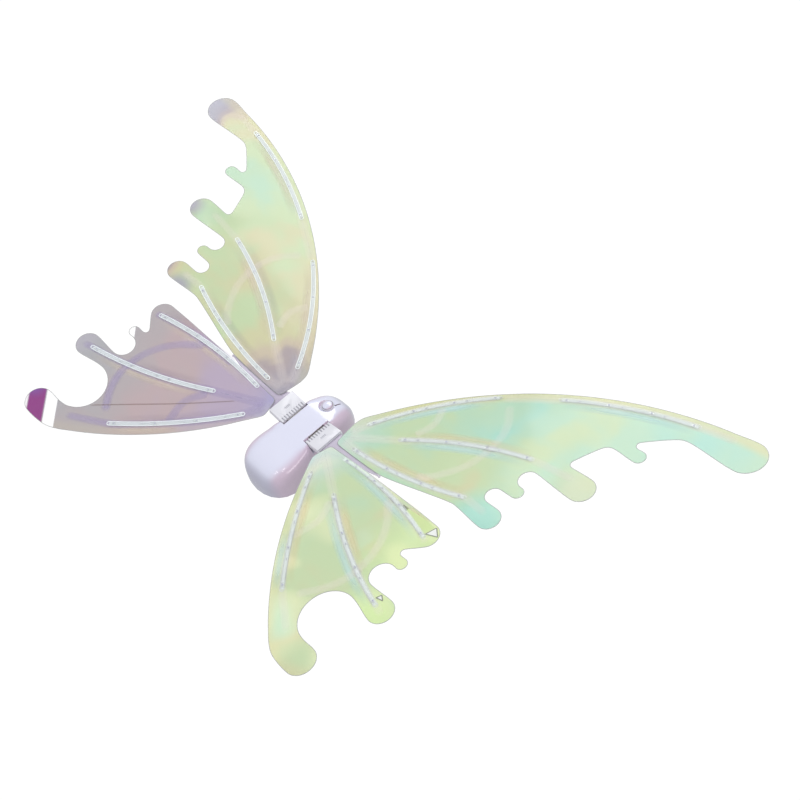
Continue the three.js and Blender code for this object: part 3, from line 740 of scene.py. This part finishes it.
def smooth_loop(points, steps=5):
    """A closed centripetal curve through the points."""
    count = len(points)
    result = []
    for i in range(count):
        p0, p1, p2, p3 = (points[(i + k) % count] for k in (-1, 0, 1, 2))
        d0, d1, d2 = (max(1e-6, np.linalg.norm(b - a)) ** 0.5 for a, b in ((p0, p1), (p1, p2), (p2, p3)))
        m1 = (p1 - p0) / d0 - (p2 - p0) / (d0 + d1) + (p2 - p1) / d1
        m2 = (p2 - p1) / d1 - (p3 - p1) / (d1 + d2) + (p3 - p2) / d2
        m1, m2 = m1 * d1, m2 * d1
        pieces = max(1, min(steps, int(np.linalg.norm(p2 - p1) / 1.2)))
        for k in range(pieces):
            s = k / pieces
            leave, arrive = 2 * s ** 3 - 3 * s ** 2 + 1, -2 * s ** 3 + 3 * s ** 2
            result.append(leave * p1 + (s ** 3 - 2 * s ** 2 + s) * m1 + arrive * p2 + (s ** 3 - s ** 2) * m2)
    return np.array(result)


def smooth_path(points, step=2.5):
    """An open curve through the points, evenly stepped."""
    points = [np.array(p, float) for p in points]
    padded = [2 * points[0] - points[1], *points, 2 * points[-1] - points[-2]]
    result = []
    for p0, p1, p2, p3 in zip(padded, padded[1:], padded[2:], padded[3:]):
        pieces = max(1, round(np.linalg.norm(p2 - p1) / step))
        for k in range(pieces):
            s = k / pieces
            result.append(0.5 * (2 * p1 + (p2 - p0) * s + (2 * p0 - 5 * p1 + 4 * p2 - p3) * s ** 2
                                 + (3 * p1 - p0 - 3 * p2 + p3) * s ** 3))
    result.append(points[-1])
    return np.array(result)


def headings(path):
    """Unit directions along a path of flat points."""
    ahead = np.gradient(path, axis=0)
    return ahead / np.linalg.norm(ahead, axis=1)[:, None]


def left_of(ahead):
    """Directions turned a quarter to the left."""
    return np.column_stack([-ahead[:, 1], ahead[:, 0]])


def inside(points, loop):
    """Which points lie inside the closed loop."""
    x, y = points[:, 0:1], points[:, 1:2]
    a, b = loop, np.roll(loop, -1, axis=0)
    crosses = (a[:, 1] > y) != (b[:, 1] > y)
    with np.errstate(divide="ignore", invalid="ignore"):
        at = (b[:, 0] - a[:, 0]) * (y - a[:, 1]) / (b[:, 1] - a[:, 1]) + a[:, 0]
    return (np.sum(crosses & (x < at), axis=1) % 2) == 1


def nearest(points, targets):
    """Distance of each point to the nearest target."""
    return np.min(np.linalg.norm(points[:, None, :] - targets[None, :, :], axis=2), axis=1)


# ---------- film panels ----------
FILM_THICK = 0.35
FILM_GRID = 6.0
SAG = 0.8


def film_height(wing, points):
    """How far the film stands off its plane: slack between the strips, flat under them."""
    points = np.atleast_2d(points)
    ribs = np.vstack(wing.strips)
    slack = np.clip((nearest(points, ribs) - 6) / 30, 0, 1)
    waves = np.array([noise.noise(Vector((u / 55, v / 40, wing.side * 7.0))) for u, v in points])
    return wing.film_front - FILM_THICK - 0.2 + SAG * slack * np.clip(waves, -0.8, 0.3)


def film_panel(wing, node_name):
    loop = smooth_loop(wing.outline(node_name))
    wing.loops.append(loop)
    low, high = loop.min(axis=0), loop.max(axis=0)
    us, vs = np.meshgrid(np.arange(low[0], high[0], FILM_GRID), np.arange(low[1], high[1], FILM_GRID))
    grid = np.column_stack([us.ravel(), vs.ravel()])
    grid = grid[inside(grid, loop)]
    grid = grid[nearest(grid, loop) > FILM_GRID * 0.45]
    points = [Vector(p) for p in np.vstack([loop, grid])]
    rim = len(loop)
    edges = [(i, (i + 1) % rim) for i in range(rim)]
    flat, _, triangles, *_ = delaunay_2d_cdt(points, edges, [list(range(rim))], 1, 1e-4)
    flat = np.array([tuple(p) for p in flat])
    heights = film_height(wing, flat)
    count = len(flat)
    verts = [wing.solid(u, v, n + FILM_THICK) for (u, v), n in zip(flat, heights)]
    verts += [wing.solid(u, v, n) for (u, v), n in zip(flat, heights)]
    faces = [tuple(t) for t in triangles] + [tuple(count + i for i in reversed(t)) for t in triangles]
    faces += [(a, b, count + b, count + a) for a, b in rim_edges(triangles)]
    film = to_mesh(f"{node_name}_sheet", verts, faces, node_name, sharp=60)
    finish_piece(film, wing.body, "film", node_name)
    edge_bead(wing, f"{node_name}_edge", loop)


def rim_edges(triangles):
    seen = set()
    for t in triangles:
        for a, b in zip(t, (*t[1:], t[0])):
            if (b, a) in seen:
                seen.remove((b, a))
            else:
                seen.add((a, b))
    return sorted(seen)


def tube(path, radius, facets=6, closed=False, flatten=1.0, lift=None):
    """Verts and faces of a tube along points given as vectors in millimetres."""
    count = len(path)
    verts, faces = [], []
    for i, point in enumerate(path):
        before = path[(i - 1) % count] if closed or i else point
        after = path[(i + 1) % count] if closed or i < count - 1 else point
        along = (after - before).normalized()
        side = along.cross(lift).normalized()
        up = side.cross(along)
        for k in range(facets):
            a = 2 * math.pi * k / facets
            verts.append(point + side * radius * math.cos(a) + up * radius * flatten * math.sin(a))
    for i in range(count if closed else count - 1):
        j = (i + 1) % count
        for k in range(facets):
            m = (k + 1) % facets
            faces.append((i * facets + k, i * facets + m, j * facets + m, j * facets + k))
    if not closed:
        faces.append(tuple(reversed(range(facets))))
        faces.append(tuple((count - 1) * facets + k for k in range(facets)))
    return verts, faces


def edge_bead(wing, name, loop):
    """The melted rim that the hot knife leaves."""
    heights = film_height(wing, loop) + FILM_THICK / 2
    path = [wing.solid(u, v, n) for (u, v), n in zip(loop, heights)]
    verts, faces = tube(path, 0.45, 6, closed=True, lift=wing.front)
    finish_piece(to_mesh(name, verts, faces, "edge"), wing.body, "film")


# ---------- veins ----------
ROOT_UPPER, ROOT_LOWER = (38, 12), (38, -12)
VEIN_WIDTH = 14.0
FRINGE_OFFSET, FRINGE_WIDTH = 7, 14.0
# Bands that cross lie this much above each other, so that they do not flicker.
LAYER = 0.012
# Beyond each strip the printed vein runs on to a lobe: upper strips, then lower ones.
VEIN_ENDS = {2: (395, 240), 3: (296, 115), 4: (252, 33), 5: (234, -29), 6: (258, -112), 7: (194, -184)}
CROSS_VEINS = [
    [(166, 150), (187, 124), (193, 95), (188, 65), (169, 35), (152, 22)],
    [(106, 106), (115, 85), (109, 62)],
    [(150, -12), (177, -38), (192, -68), (194, -100), (184, -126), (164, -150)],
    [(100, -52), (110, -78), (103, -108)],
]


def ribbon_part(wing, path, width, lift, taper=0.0):
    """Verts and faces of a flat band on the film."""
    path = np.array(path)
    across = left_of(headings(path))
    share = np.linspace(0, 1, len(path))
    half = width / 2 * (1 - taper * share) * np.sqrt(np.clip(np.minimum(share, 1 - share) * 40, 0.15, 1))
    rows = [path + across * (half * k)[:, None] for k in (-1, 0, 1)]
    heights = [film_height(wing, row) + FILM_THICK + lift for row in rows]
    verts = [wing.solid(*rows[k][i], heights[k][i]) for i in range(len(path)) for k in range(3)]
    faces = [(3 * i + k, 3 * i + k + 1, 3 * i + k + 4, 3 * i + k + 3)
             for i in range(len(path) - 1) for k in (0, 1)]
    return verts, faces


def on_film(wing, path, margin):
    """The longest run of a path that stays inside one of the panels."""
    keep = np.zeros(len(path), bool)
    for loop in wing.loops:
        keep |= inside(path, loop) & (nearest(path, loop) > margin)
    best, start = (0, 0), None
    for i, kept in enumerate([*keep, False]):
        if kept and start is None:
            start = i
        elif not kept and start is not None:
            best = max(best, (i - start, start))
            start = None
    length, start = best
    return path[start:start + length]


def band_piece(wing, name, parts, material):
    """Bands as one piece, with a map that runs from 0 to 1 across each band."""
    verts, faces = join_parts(parts)
    piece = to_mesh(name, verts, faces, material)
    shares = np.concatenate([np.repeat(np.linspace(0, 1, len(v) // 3), 3) for v, _ in parts])
    across = piece.data.uv_layers.new(name="across")
    for corner in piece.data.loops:
        at = corner.vertex_index
        across.data[corner.index].uv = (shares[at], (at % 3) / 2)
    finish_piece(piece, wing.body, "film")


def beside(path, offset):
    """A path moved sideways."""
    return path + left_of(headings(path)) * offset


def veins(wing):
    bands = {"upper": [], "lower": []}
    warm, cool = [], []
    for i, strip in enumerate(wing.strips, 1):
        root = ROOT_UPPER if i <= 4 else ROOT_LOWER
        keys = list(strip[::8])
        before = [wing.strips[0][-1]] if i == 2 else [root]
        after = [VEIN_ENDS[i]] if i in VEIN_ENDS else []
        path = on_film(wing, smooth_path([*before, *keys, *after]), 4)
        level = "upper" if i <= 4 else "lower"
        bands[level].append(ribbon_part(wing, path, VEIN_WIDTH, 0.05 + LAYER * i, 0.25))
        # Fringes: bands of painted light and shade along each side of a strip.
        for fringe, side in ((warm, 1), (cool, -1)):
            path = on_film(wing, beside(smooth_path(keys), side * FRINGE_OFFSET), 5)
            if len(path) > 6:
                fringe.append(ribbon_part(wing, path, FRINGE_WIDTH, 0.02, 0.2))
    for i, keys in enumerate(CROSS_VEINS):
        path = on_film(wing, smooth_path(keys), 5)
        level = "upper" if i < 2 else "lower"
        bands[level].append(ribbon_part(wing, path, VEIN_WIDTH * 0.85, 0.15 + LAYER * i))
    for level, parts in bands.items():
        tint = "vein_lilac" if (level, wing.name) == ("lower", "left") else "vein_pale"
        band_piece(wing, f"veins_{level}_{wing.name}", parts, tint)
    band_piece(wing, f"fringes_warm_{wing.name}", warm, f"warm_{wing.name}")
    band_piece(wing, f"fringes_cool_{wing.name}", cool, f"cool_{wing.name}")


def line_on_film(wing, name, keys, width, material, closed=False):
    """A thin drawn line, such as a crease."""
    points = [*keys, keys[0]] if closed else keys
    if closed:
        path = np.vstack([np.linspace(a, b, 12) for a, b in zip(points, points[1:])])
    else:
        path = smooth_path(points)
    path = path[np.r_[True, np.linalg.norm(np.diff(path, axis=0), axis=1) > 1e-6]]
    verts, faces = ribbon_part(wing, path, width, 0.26)
    finish_piece(to_mesh(name, verts, faces, material), wing.body, "film")


# Right lower panel: folded lobes show as clear facets outlined in grey, with a painted lime highlight and a
# painted shadow beside them.
FACETS = [
    [(222.5, -8.2), (218.8, -20.4), (232.0, -15.4)],
    [(238.5, -95.8), (236.2, -101.4), (244.4, -99.6)],
]
LIME_FOLD_HIGHLIGHT = [(177, -9.4), (178, -12.5), (198, -16.5), (216.5, -21.5), (220.5, -9.2), (200, -8.2)]
FOLD_SHADE = [(171, -8.6), (172, -11.8), (180, -12.6), (179, -8.6)]


def patch_on_film(wing, name, corners, material, lift):
    heights = film_height(wing, corners) + FILM_THICK + lift
    verts = [wing.solid(u, v, n) for (u, v), n in zip(corners, heights)]
    patch = to_mesh(name, verts, [tuple(range(len(verts)))], material, smooth=False)
    finish_piece(patch, wing.body, "film")


def folds(wing):
    """A crease across the left lower panel, drawn as a line of painted shade, and folded lobes on the right
    lower panel, with a painted highlight and a painted shadow beside them.
    """
    if wing.name == "left":
        line_on_film(wing, "crease_shade_left", [(183, -156), (154, -126), (112, -83), (70, -37)], 1.5, "crease")
        return
    patch_on_film(wing, "lime_fold_right", LIME_FOLD_HIGHLIGHT, "lime", 0.2)
    patch_on_film(wing, "fold_shade_right", FOLD_SHADE, "fold_shade", 0.22)
    for i, corners in enumerate(FACETS, 1):
        patch_on_film(wing, f"facet_{i}_right", corners, "facet", 0.24)
        line_on_film(wing, f"facet_{i}_line_right", corners, 1.2, "facet_line", closed=True)


# ---------- light strips ----------
COVER_HALF, COVER_HIGH = 2.8, 2.2
TAPE_HALF, TAPE_THICK = 1.6, 0.25
LIGHT_HALF, LIGHT_HIGH = 1.05, 0.7
LIGHT_SHARES = (0.035, 0.345, 0.655, 0.965)
CHIP_SHARES = (0.13, 0.44, 0.75)


def cover_piece(wing, index, strip):
    """A milky half-round tube with round ends."""
    profile = [(-1, 0), (-1, 0.45), (-0.88, 0.78), (-0.6, 0.96), (0, 1)]
    profile += [(-s, h) for s, h in reversed(profile[:-1])]
    ahead = headings(strip)
    stations = []
    for a in np.linspace(0, math.pi / 2, 7)[1:]:
        stations.append((strip[0] - ahead[0] * COVER_HALF * math.cos(a), ahead[0], math.sin(a)))
    stations += [(p, d, 1.0) for p, d in zip(strip[1:-1], ahead[1:-1])]
    for a in np.linspace(math.pi / 2, 0, 7)[:-1]:
        stations.append((strip[-1] + ahead[-1] * COVER_HALF * math.cos(a), ahead[-1], math.sin(a)))
    base = wing.film_front + 0.3
    verts, width = [], len(profile)
    for point, direction, scale in stations:
        across = np.array([-direction[1], direction[0]]) * COVER_HALF * scale
        rise = COVER_HIGH * (0.45 + 0.55 * scale)
        verts += [wing.solid(*(point + across * s), base + rise * h) for s, h in profile]
    faces = strip_of_rings(len(stations), width)
    last = (len(stations) - 1) * width
    faces += [tuple(reversed(range(width))), tuple(last + k for k in range(width))]
    name = f"strip_cover_{index}_{wing.name}"
    piece = to_mesh(f"{name}_tube", verts, faces, "cover", sharp=50)
    finish_piece(piece, wing.body, "strip_cover", name)
    # The foot is drawn in the glowing rim material: painted light along the cover's edges.
    sides = [[point + np.array([-d[1], d[0]]) * (COVER_HALF - 0.5) * scale * hand
              for point, d, scale in stations] for hand in (1, -1)]
    foot = [wing.solid(*point, base + 0.4) for point in sides[0] + sides[1][::-1]]
    verts, faces = tube(foot, 0.45, 6, closed=True, lift=wing.front)
    foot_piece = to_mesh(f"{name}_foot", verts, faces, f"cover_rim_{wing.name}")
    finish_piece(foot_piece, wing.body, "strip_cover")


def block(wing, centre, ahead, half_u, half_v, low, high, bevel=0.0):
    """Verts and faces of a small block lying on the tape, turned along it."""
    across = np.array([-ahead[1], ahead[0]])
    verts, faces = [], []
    levels = [(low, 0), (high - bevel, 0), (high, bevel)] if bevel else [(low, 0), (high, 0)]
    for level, inset in levels:
        for s, t in ((-1, -1), (1, -1), (1, 1), (-1, 1)):
            point = centre + ahead * s * (half_u - inset) + across * t * (half_v - inset)
            verts.append(wing.solid(*point, level))
    for row in range(len(levels) - 1):
        for k in range(4):
            m = (k + 1) % 4
            faces.append((4 * row + k, 4 * row + m, 4 * row + 4 + m, 4 * row + 4 + k))
    top = 4 * (len(levels) - 1)
    faces += [(3, 2, 1, 0), (top, top + 1, top + 2, top + 3)]
    return verts, faces


def strip_places(strip, shares):
    """Point and direction at each share of a strip's length."""
    steps = np.linalg.norm(np.diff(strip, axis=0), axis=1)
    run = np.concatenate([[0], np.cumsum(steps)]) / steps.sum()
    ahead = headings(strip)
    for share in shares:
        point = np.array([np.interp(share, run, strip[:, k]) for k in (0, 1)])
        direction = np.array([np.interp(share, run, ahead[:, k]) for k in (0, 1)])
        yield point, direction / np.linalg.norm(direction)


def circuit(wing, level, numbers, trunk):
    """Tapes, lights, pads and chips of one panel, with the leads that feed them."""
    base = wing.film_front + 0.35
    top = base + TAPE_THICK
    tapes, leads, bodies, domes, pads, chips = [], [], [], [], [], []
    for i in numbers:
        strip = wing.strips[i - 1]
        tapes.append(flat_bar(wing, strip, TAPE_HALF, base, top))
        source = wing.strips[0][-1] if i == 2 else np.array(trunk)
        leads.append(flat_bar(wing, smooth_path([source, strip[0]], 6), 0.5, base, base + 0.1))
        for point, ahead in strip_places(strip, LIGHT_SHARES):
            bodies.append(block(wing, point, ahead, LIGHT_HALF, LIGHT_HALF, top, top + LIGHT_HIGH, 0.2))
            crown = top + LIGHT_HIGH
            domes.append(block(wing, point, ahead, 0.65, 0.65, crown, crown + 0.12, 0.08))
            for end in (-1, 1):
                pads.append(block(wing, point + ahead * end * 1.7, ahead, 0.45, 0.8, top, top + 0.18, 0.08))
        for point, ahead in strip_places(strip, CHIP_SHARES):
            chips.append(block(wing, point, ahead, 0.9, 0.5, top, top + 0.45, 0.06))
            for end in (-1, 1):
                pads.append(block(wing, point + ahead * end * 1.25, ahead, 0.3, 0.55, top, top + 0.2, 0.08))
    node = f"light_circuit_{level}_{wing.name}"
    verts, faces = join_parts(tapes)
    tape = to_mesh(f"{node}_tape", verts, faces, f"tape_{wing.name}", sharp=30)
    finish_piece(tape, wing.body, "light_tape", node)
    for label, parts, material in (("leads", leads, "lead"), ("lights", bodies, "light_body"),
                                   ("phosphor", domes, "phosphor"), ("pads", pads, "solder"),
                                   ("chips", chips, "chip_grey")):
        verts, faces = join_parts(parts)
        piece = to_mesh(f"{node}_{label}", verts, faces, material, sharp=30)
        finish_piece(piece, wing.body, "light_tape")


def flat_bar(wing, path, half, low, high):
    path = np.array(path)
    across = left_of(headings(path)) * half
    verts = []
    for point, side in zip(path, across):
        for s, n in ((-1, low), (1, low), (1, high), (-1, high)):
            verts.append(wing.solid(*(point + side * s), n))
    faces = [(4 * i + k, 4 * i + (k + 1) % 4, 4 * i + 4 + (k + 1) % 4, 4 * i + 4 + k)
             for i in range(len(path) - 1) for k in range(4)]
    last = 4 * (len(path) - 1)
    faces += [(3, 2, 1, 0), (last, last + 1, last + 2, last + 3)]
    return verts, faces


COMB_PITCH = 3.5


def comb(wing):
    """Dark floors in the plug's comb of grooves, painted shade in the grooves, and a grip mark of short bars.
    """
    base = wing.flat(frame["nodes"][f"plug_cover_{wing.name}"])
    inner, top = base[:, 0].min(), base[:, 2].max()
    outwards = np.array([1.0, 0.0])
    parts = [block(wing, np.array([inner + 2.6, i * COMB_PITCH]), outwards, 2.4, 0.6, top - 1.1, top - 0.9)
             for i in range(-4, 5)]
    marks = [block(wing, np.array([inner + 12.0, v]), outwards, 1.7, 0.35, top - 0.45, top + 0.05)
             for v in (-2.7, -0.9, 0.9, 2.7)]
    for label, pieces, material in (("comb", parts, "groove"), ("mark", marks, "groove")):
        verts, faces = join_parts(pieces)
        piece = to_mesh(f"plug_{label}_{wing.name}", verts, faces, material, smooth=False)
        finish_piece(piece, wing.body, "plug")


def build_wing(side_name):
    wing = Wing(side_name)
    for level in ("upper", "lower"):
        film_panel(wing, f"{level}_film_{side_name}")
    veins(wing)
    folds(wing)
    for i, strip in enumerate(wing.strips, 1):
        cover_piece(wing, i, strip)
    circuit(wing, "upper", (1, 2, 3, 4), ROOT_UPPER)
    circuit(wing, "lower", (5, 6, 7), ROOT_LOWER)
    plate = f"root_plate_{side_name}"
    refined_copy(plate, f"{plate}_fan", f"root_{side_name}", 0.2, wing.body, "root_plate")
    comb(wing)
    for part, bevel in (("plug_cover", 0.25), ("plug_base", 0.5)):
        node = f"{part}_{side_name}"
        refined_copy(node, f"{node}_moulded", "plug", bevel, wing.body, "plug")


# ---------- drive case ----------
BUTTON_Y = -36.2
SHELL_WALL = 2.2


def case_numbers():
    low, high = (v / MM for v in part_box("front_shell"))
    return {"mid": (low.z + high.z) / 2, "half": (high.z - low.z) / 2, "depth": -low.y, "seam": high.y}


def case_surface(name, rings=120, around=96, inset=0.0):
    """The front shell's outer skin: a mouse shape pinched in at the wing plugs."""
    size = case_numbers()
    half = size["half"] - inset
    verts = []
    for i in range(rings + 1):
        share = -math.cos(math.pi * i / rings)
        z = size["mid"] + share * size["half"]
        waist = math.exp(-((z / 24) ** 2))
        width = max(0.0, (36 - 8 * share) * math.sqrt(max(0.0, 1 - share ** 4)) - inset)
        depth = max(0.0, size["depth"] * math.sqrt(max(0.0, 1 - share ** 6)) - inset + size["seam"])
        power = 2 / (4 + 2.4 * waist + 10 * math.exp(-((z / 22) ** 4)))
        for j in range(around + 1):
            a = math.pi * (j / around - 0.11 * math.sin(2 * math.pi * j / around))
            s = math.sin(a) ** power if 0 < j < around else 0.0
            c = math.copysign(abs(math.cos(a)) ** power, math.cos(a))
            pinch = 1 - (0.05 + 0.4 * waist) * s
            verts.append((width * pinch * c, size["seam"] - depth * s, size["mid"] + share * half))
    thing = to_mesh(name, verts, strip_of_rings(rings + 1, around + 1), "shell")
    weld(thing.data, 0.005, 0.001)
    return thing


def cutter_box(low, high):
    corners = [(x, y, z) for x in (low[0], high[0]) for y in (low[1], high[1]) for z in (low[2], high[2])]
    faces = [(0, 1, 3, 2), (4, 6, 7, 5), (0, 4, 5, 1), (2, 3, 7, 6), (0, 2, 6, 4), (1, 5, 7, 3)]
    return to_mesh("cutter", corners, faces, "shell", smooth=False)


def prism(outline, low, high):
    """A cutter with an outline seen from above."""
    count = len(outline)
    verts = [(x, y, z) for z in (low, high) for x, y in outline]
    faces = [(i, (i + 1) % count, count + (i + 1) % count, count + i) for i in range(count)]
    faces += [tuple(reversed(range(count))), tuple(range(count, 2 * count))]
    return to_mesh("cutter", verts, faces, "shell", smooth=False)


def wing_room(side_name, side):
    """Cutters for the room that one wing's arm and plug flap in."""
    arm = [(12.6, -22), (12.6, -34), (17, -36.5), (17, -60), (60, -60), (60, -22)]
    cutters = [prism([(side * x, y) for x, y in arm], -11, 11)]
    joint = next(j for j in frame["joints"] if j["name"] == f"flap_{side_name}")
    hinge = Vector(joint["pos_m"]) / MM
    wing = Wing(side_name)
    plug = wing.flat(frame["nodes"][f"plug_base_{side_name}"])
    low, high = plug.min(axis=0), plug.max(axis=0)
    back, front = joint["range_deg"]
    inner, floor = low[0] - 0.4, low[2] - 0.4
    for angle, height in ((back, 40), (back / 2, 40), (0, 40), (front / 2, 3), (front, 3)):
        corners = [(inner, floor), (inner, height), (60, height), (60, floor)]
        turn = Matrix.Rotation(math.radians(-side * angle), 3, "Z")
        outline = [turn @ (wing.solid(u, 0, n) - hinge) + hinge for u, n in corners]
        cutters.append(prism([(p.x, p.y) for p in outline], low[1] - 0.5, high[1] + 0.5))
    return cutters


def turned(name, profile, centre, material, facets=96, sharp=35):
    """A piece turned about the front-to-back axis: profile is radius, then height to the front."""
    verts, faces = [], []
    count = len(profile)
    for i in range(facets):
        a = 2 * math.pi * i / facets
        verts += [centre + Vector((r * math.cos(a), -h, r * math.sin(a))) for r, h in profile]
    for i in range(facets):
        j = (i + 1) % facets
        for k in range(count - 1):
            faces.append((i * count + k, j * count + k, j * count + k + 1, i * count + k + 1))
    piece = to_mesh(name, verts, faces, material, sharp=sharp)
    weld(piece.data, 0.002)
    shade(piece.data, True, sharp)
    return piece


def button_centre():
    low, high = (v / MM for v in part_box("button_ring"))
    return Vector(((low.x + high.x) / 2, BUTTON_Y, (low.z + high.z) / 2)), (high.x - low.x) / 2


def front_shell():
    shell = case_surface("front_shell_skin")
    centre, ring = button_centre()
    bowl = [(0, -1.1), (ring + 0.8, -1.1), (ring + 1.6, -0.55), (ring + 2.6, 0.5), (ring + 3.4, 3), (0, 3)]
    dish = turned("dish", bowl, centre, "shell")
    bore = turned("bore", [(0, -18), (ring + 0.2, -18), (ring + 0.2, 4), (0, 4)], centre, "shell")
    lens_low, lens_high = (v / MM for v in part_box("indicator_lens"))
    hollow = case_surface("hollow", 60, 48, inset=SHELL_WALL)
    hollow.data.transform(Matrix.Translation((0, 0.2 * MM, 0)))
    room = Vector((0.3, 20, 0.3))
    cutters = [hollow, dish, bore, cutter_box(lens_low - room, lens_high + room)]
    for side_name, side in SIDES.items():
        cutters += wing_room(side_name, side)
    carve(shell, cutters)
    shade(shell.data, True, 30)
    shell.data.materials.clear()
    shell.data.materials.append(MATERIALS["shell"])
    finish_piece(shell, "case", "shell", "front_shell")


def power_button():
    centre, ring = button_centre()
    radius = ring - 1.2
    dome = [(0, -5.8), (2, -5.8), (2, -3), (radius - 0.3, -3), (radius, -2.7), (radius, 0.6)]
    dome += [(radius * math.cos(a), 0.6 + 1.8 * math.sin(a)) for a in np.linspace(0.12, math.pi / 2, 14)]
    dome[-1] = (0, dome[-1][1])
    button = turned("power_button_dome", dome, centre, "shell")
    finish_piece(button, "button", "shell", "power_button")
    inner, outer = radius + 0.3, ring
    lip = [(inner, -2.8), (outer, -2.8), (outer, 0.2), (outer - 0.15, 0.5), (outer - 0.45, 0.62)]
    lip += [(inner + 0.15, 0.3), (inner, 0.1), (inner, -2.8)]
    collar = turned("button_ring_lip", lip, centre, "plug")
    finish_piece(collar, "case", "plug", "button_ring")


CASE_MATERIALS = {
    "indicator_lens": "smoke", "circuit_board": "board", "tact_switch": "chip", "battery_tray": "nylon",
    "battery_1": "battery", "battery_2": "battery", "battery_3": "battery", "contact_plate_upper": "steel",
    "contact_plate_lower": "steel", "chassis": "nylon", "motor": "steel", "crank_axle": "steel",
    "hinge_pin_right": "steel", "hinge_pin_left": "steel", "motor_pinion": "nylon", "crank_wheel": "nylon",
    "yoke": "nylon", "flap_arm_right": "nylon", "flap_arm_left": "nylon",
}


def build_case():
    front_shell()
    power_button()
    refined_copy("back_plate", "back_plate_moulded", "shell", 0.5, "case", "shell", 3)
    refined_copy("battery_door", "battery_door_moulded", "shell", 0.35, "door", "shell", 3)
    for i in range(1, 5):
        refined_copy(f"case_screw_{i}", f"case_screw_{i}_turned", "steel", 0.15, "case", "steel")
    for node, material in CASE_MATERIALS.items():
        mesh = frame["nodes"][node].data
        mesh.materials.clear()
        mesh.materials.append(MATERIALS[material])


make_camera()
make_light()
make_floor()
build_case()
for side_name in SIDES:
    build_wing(side_name)
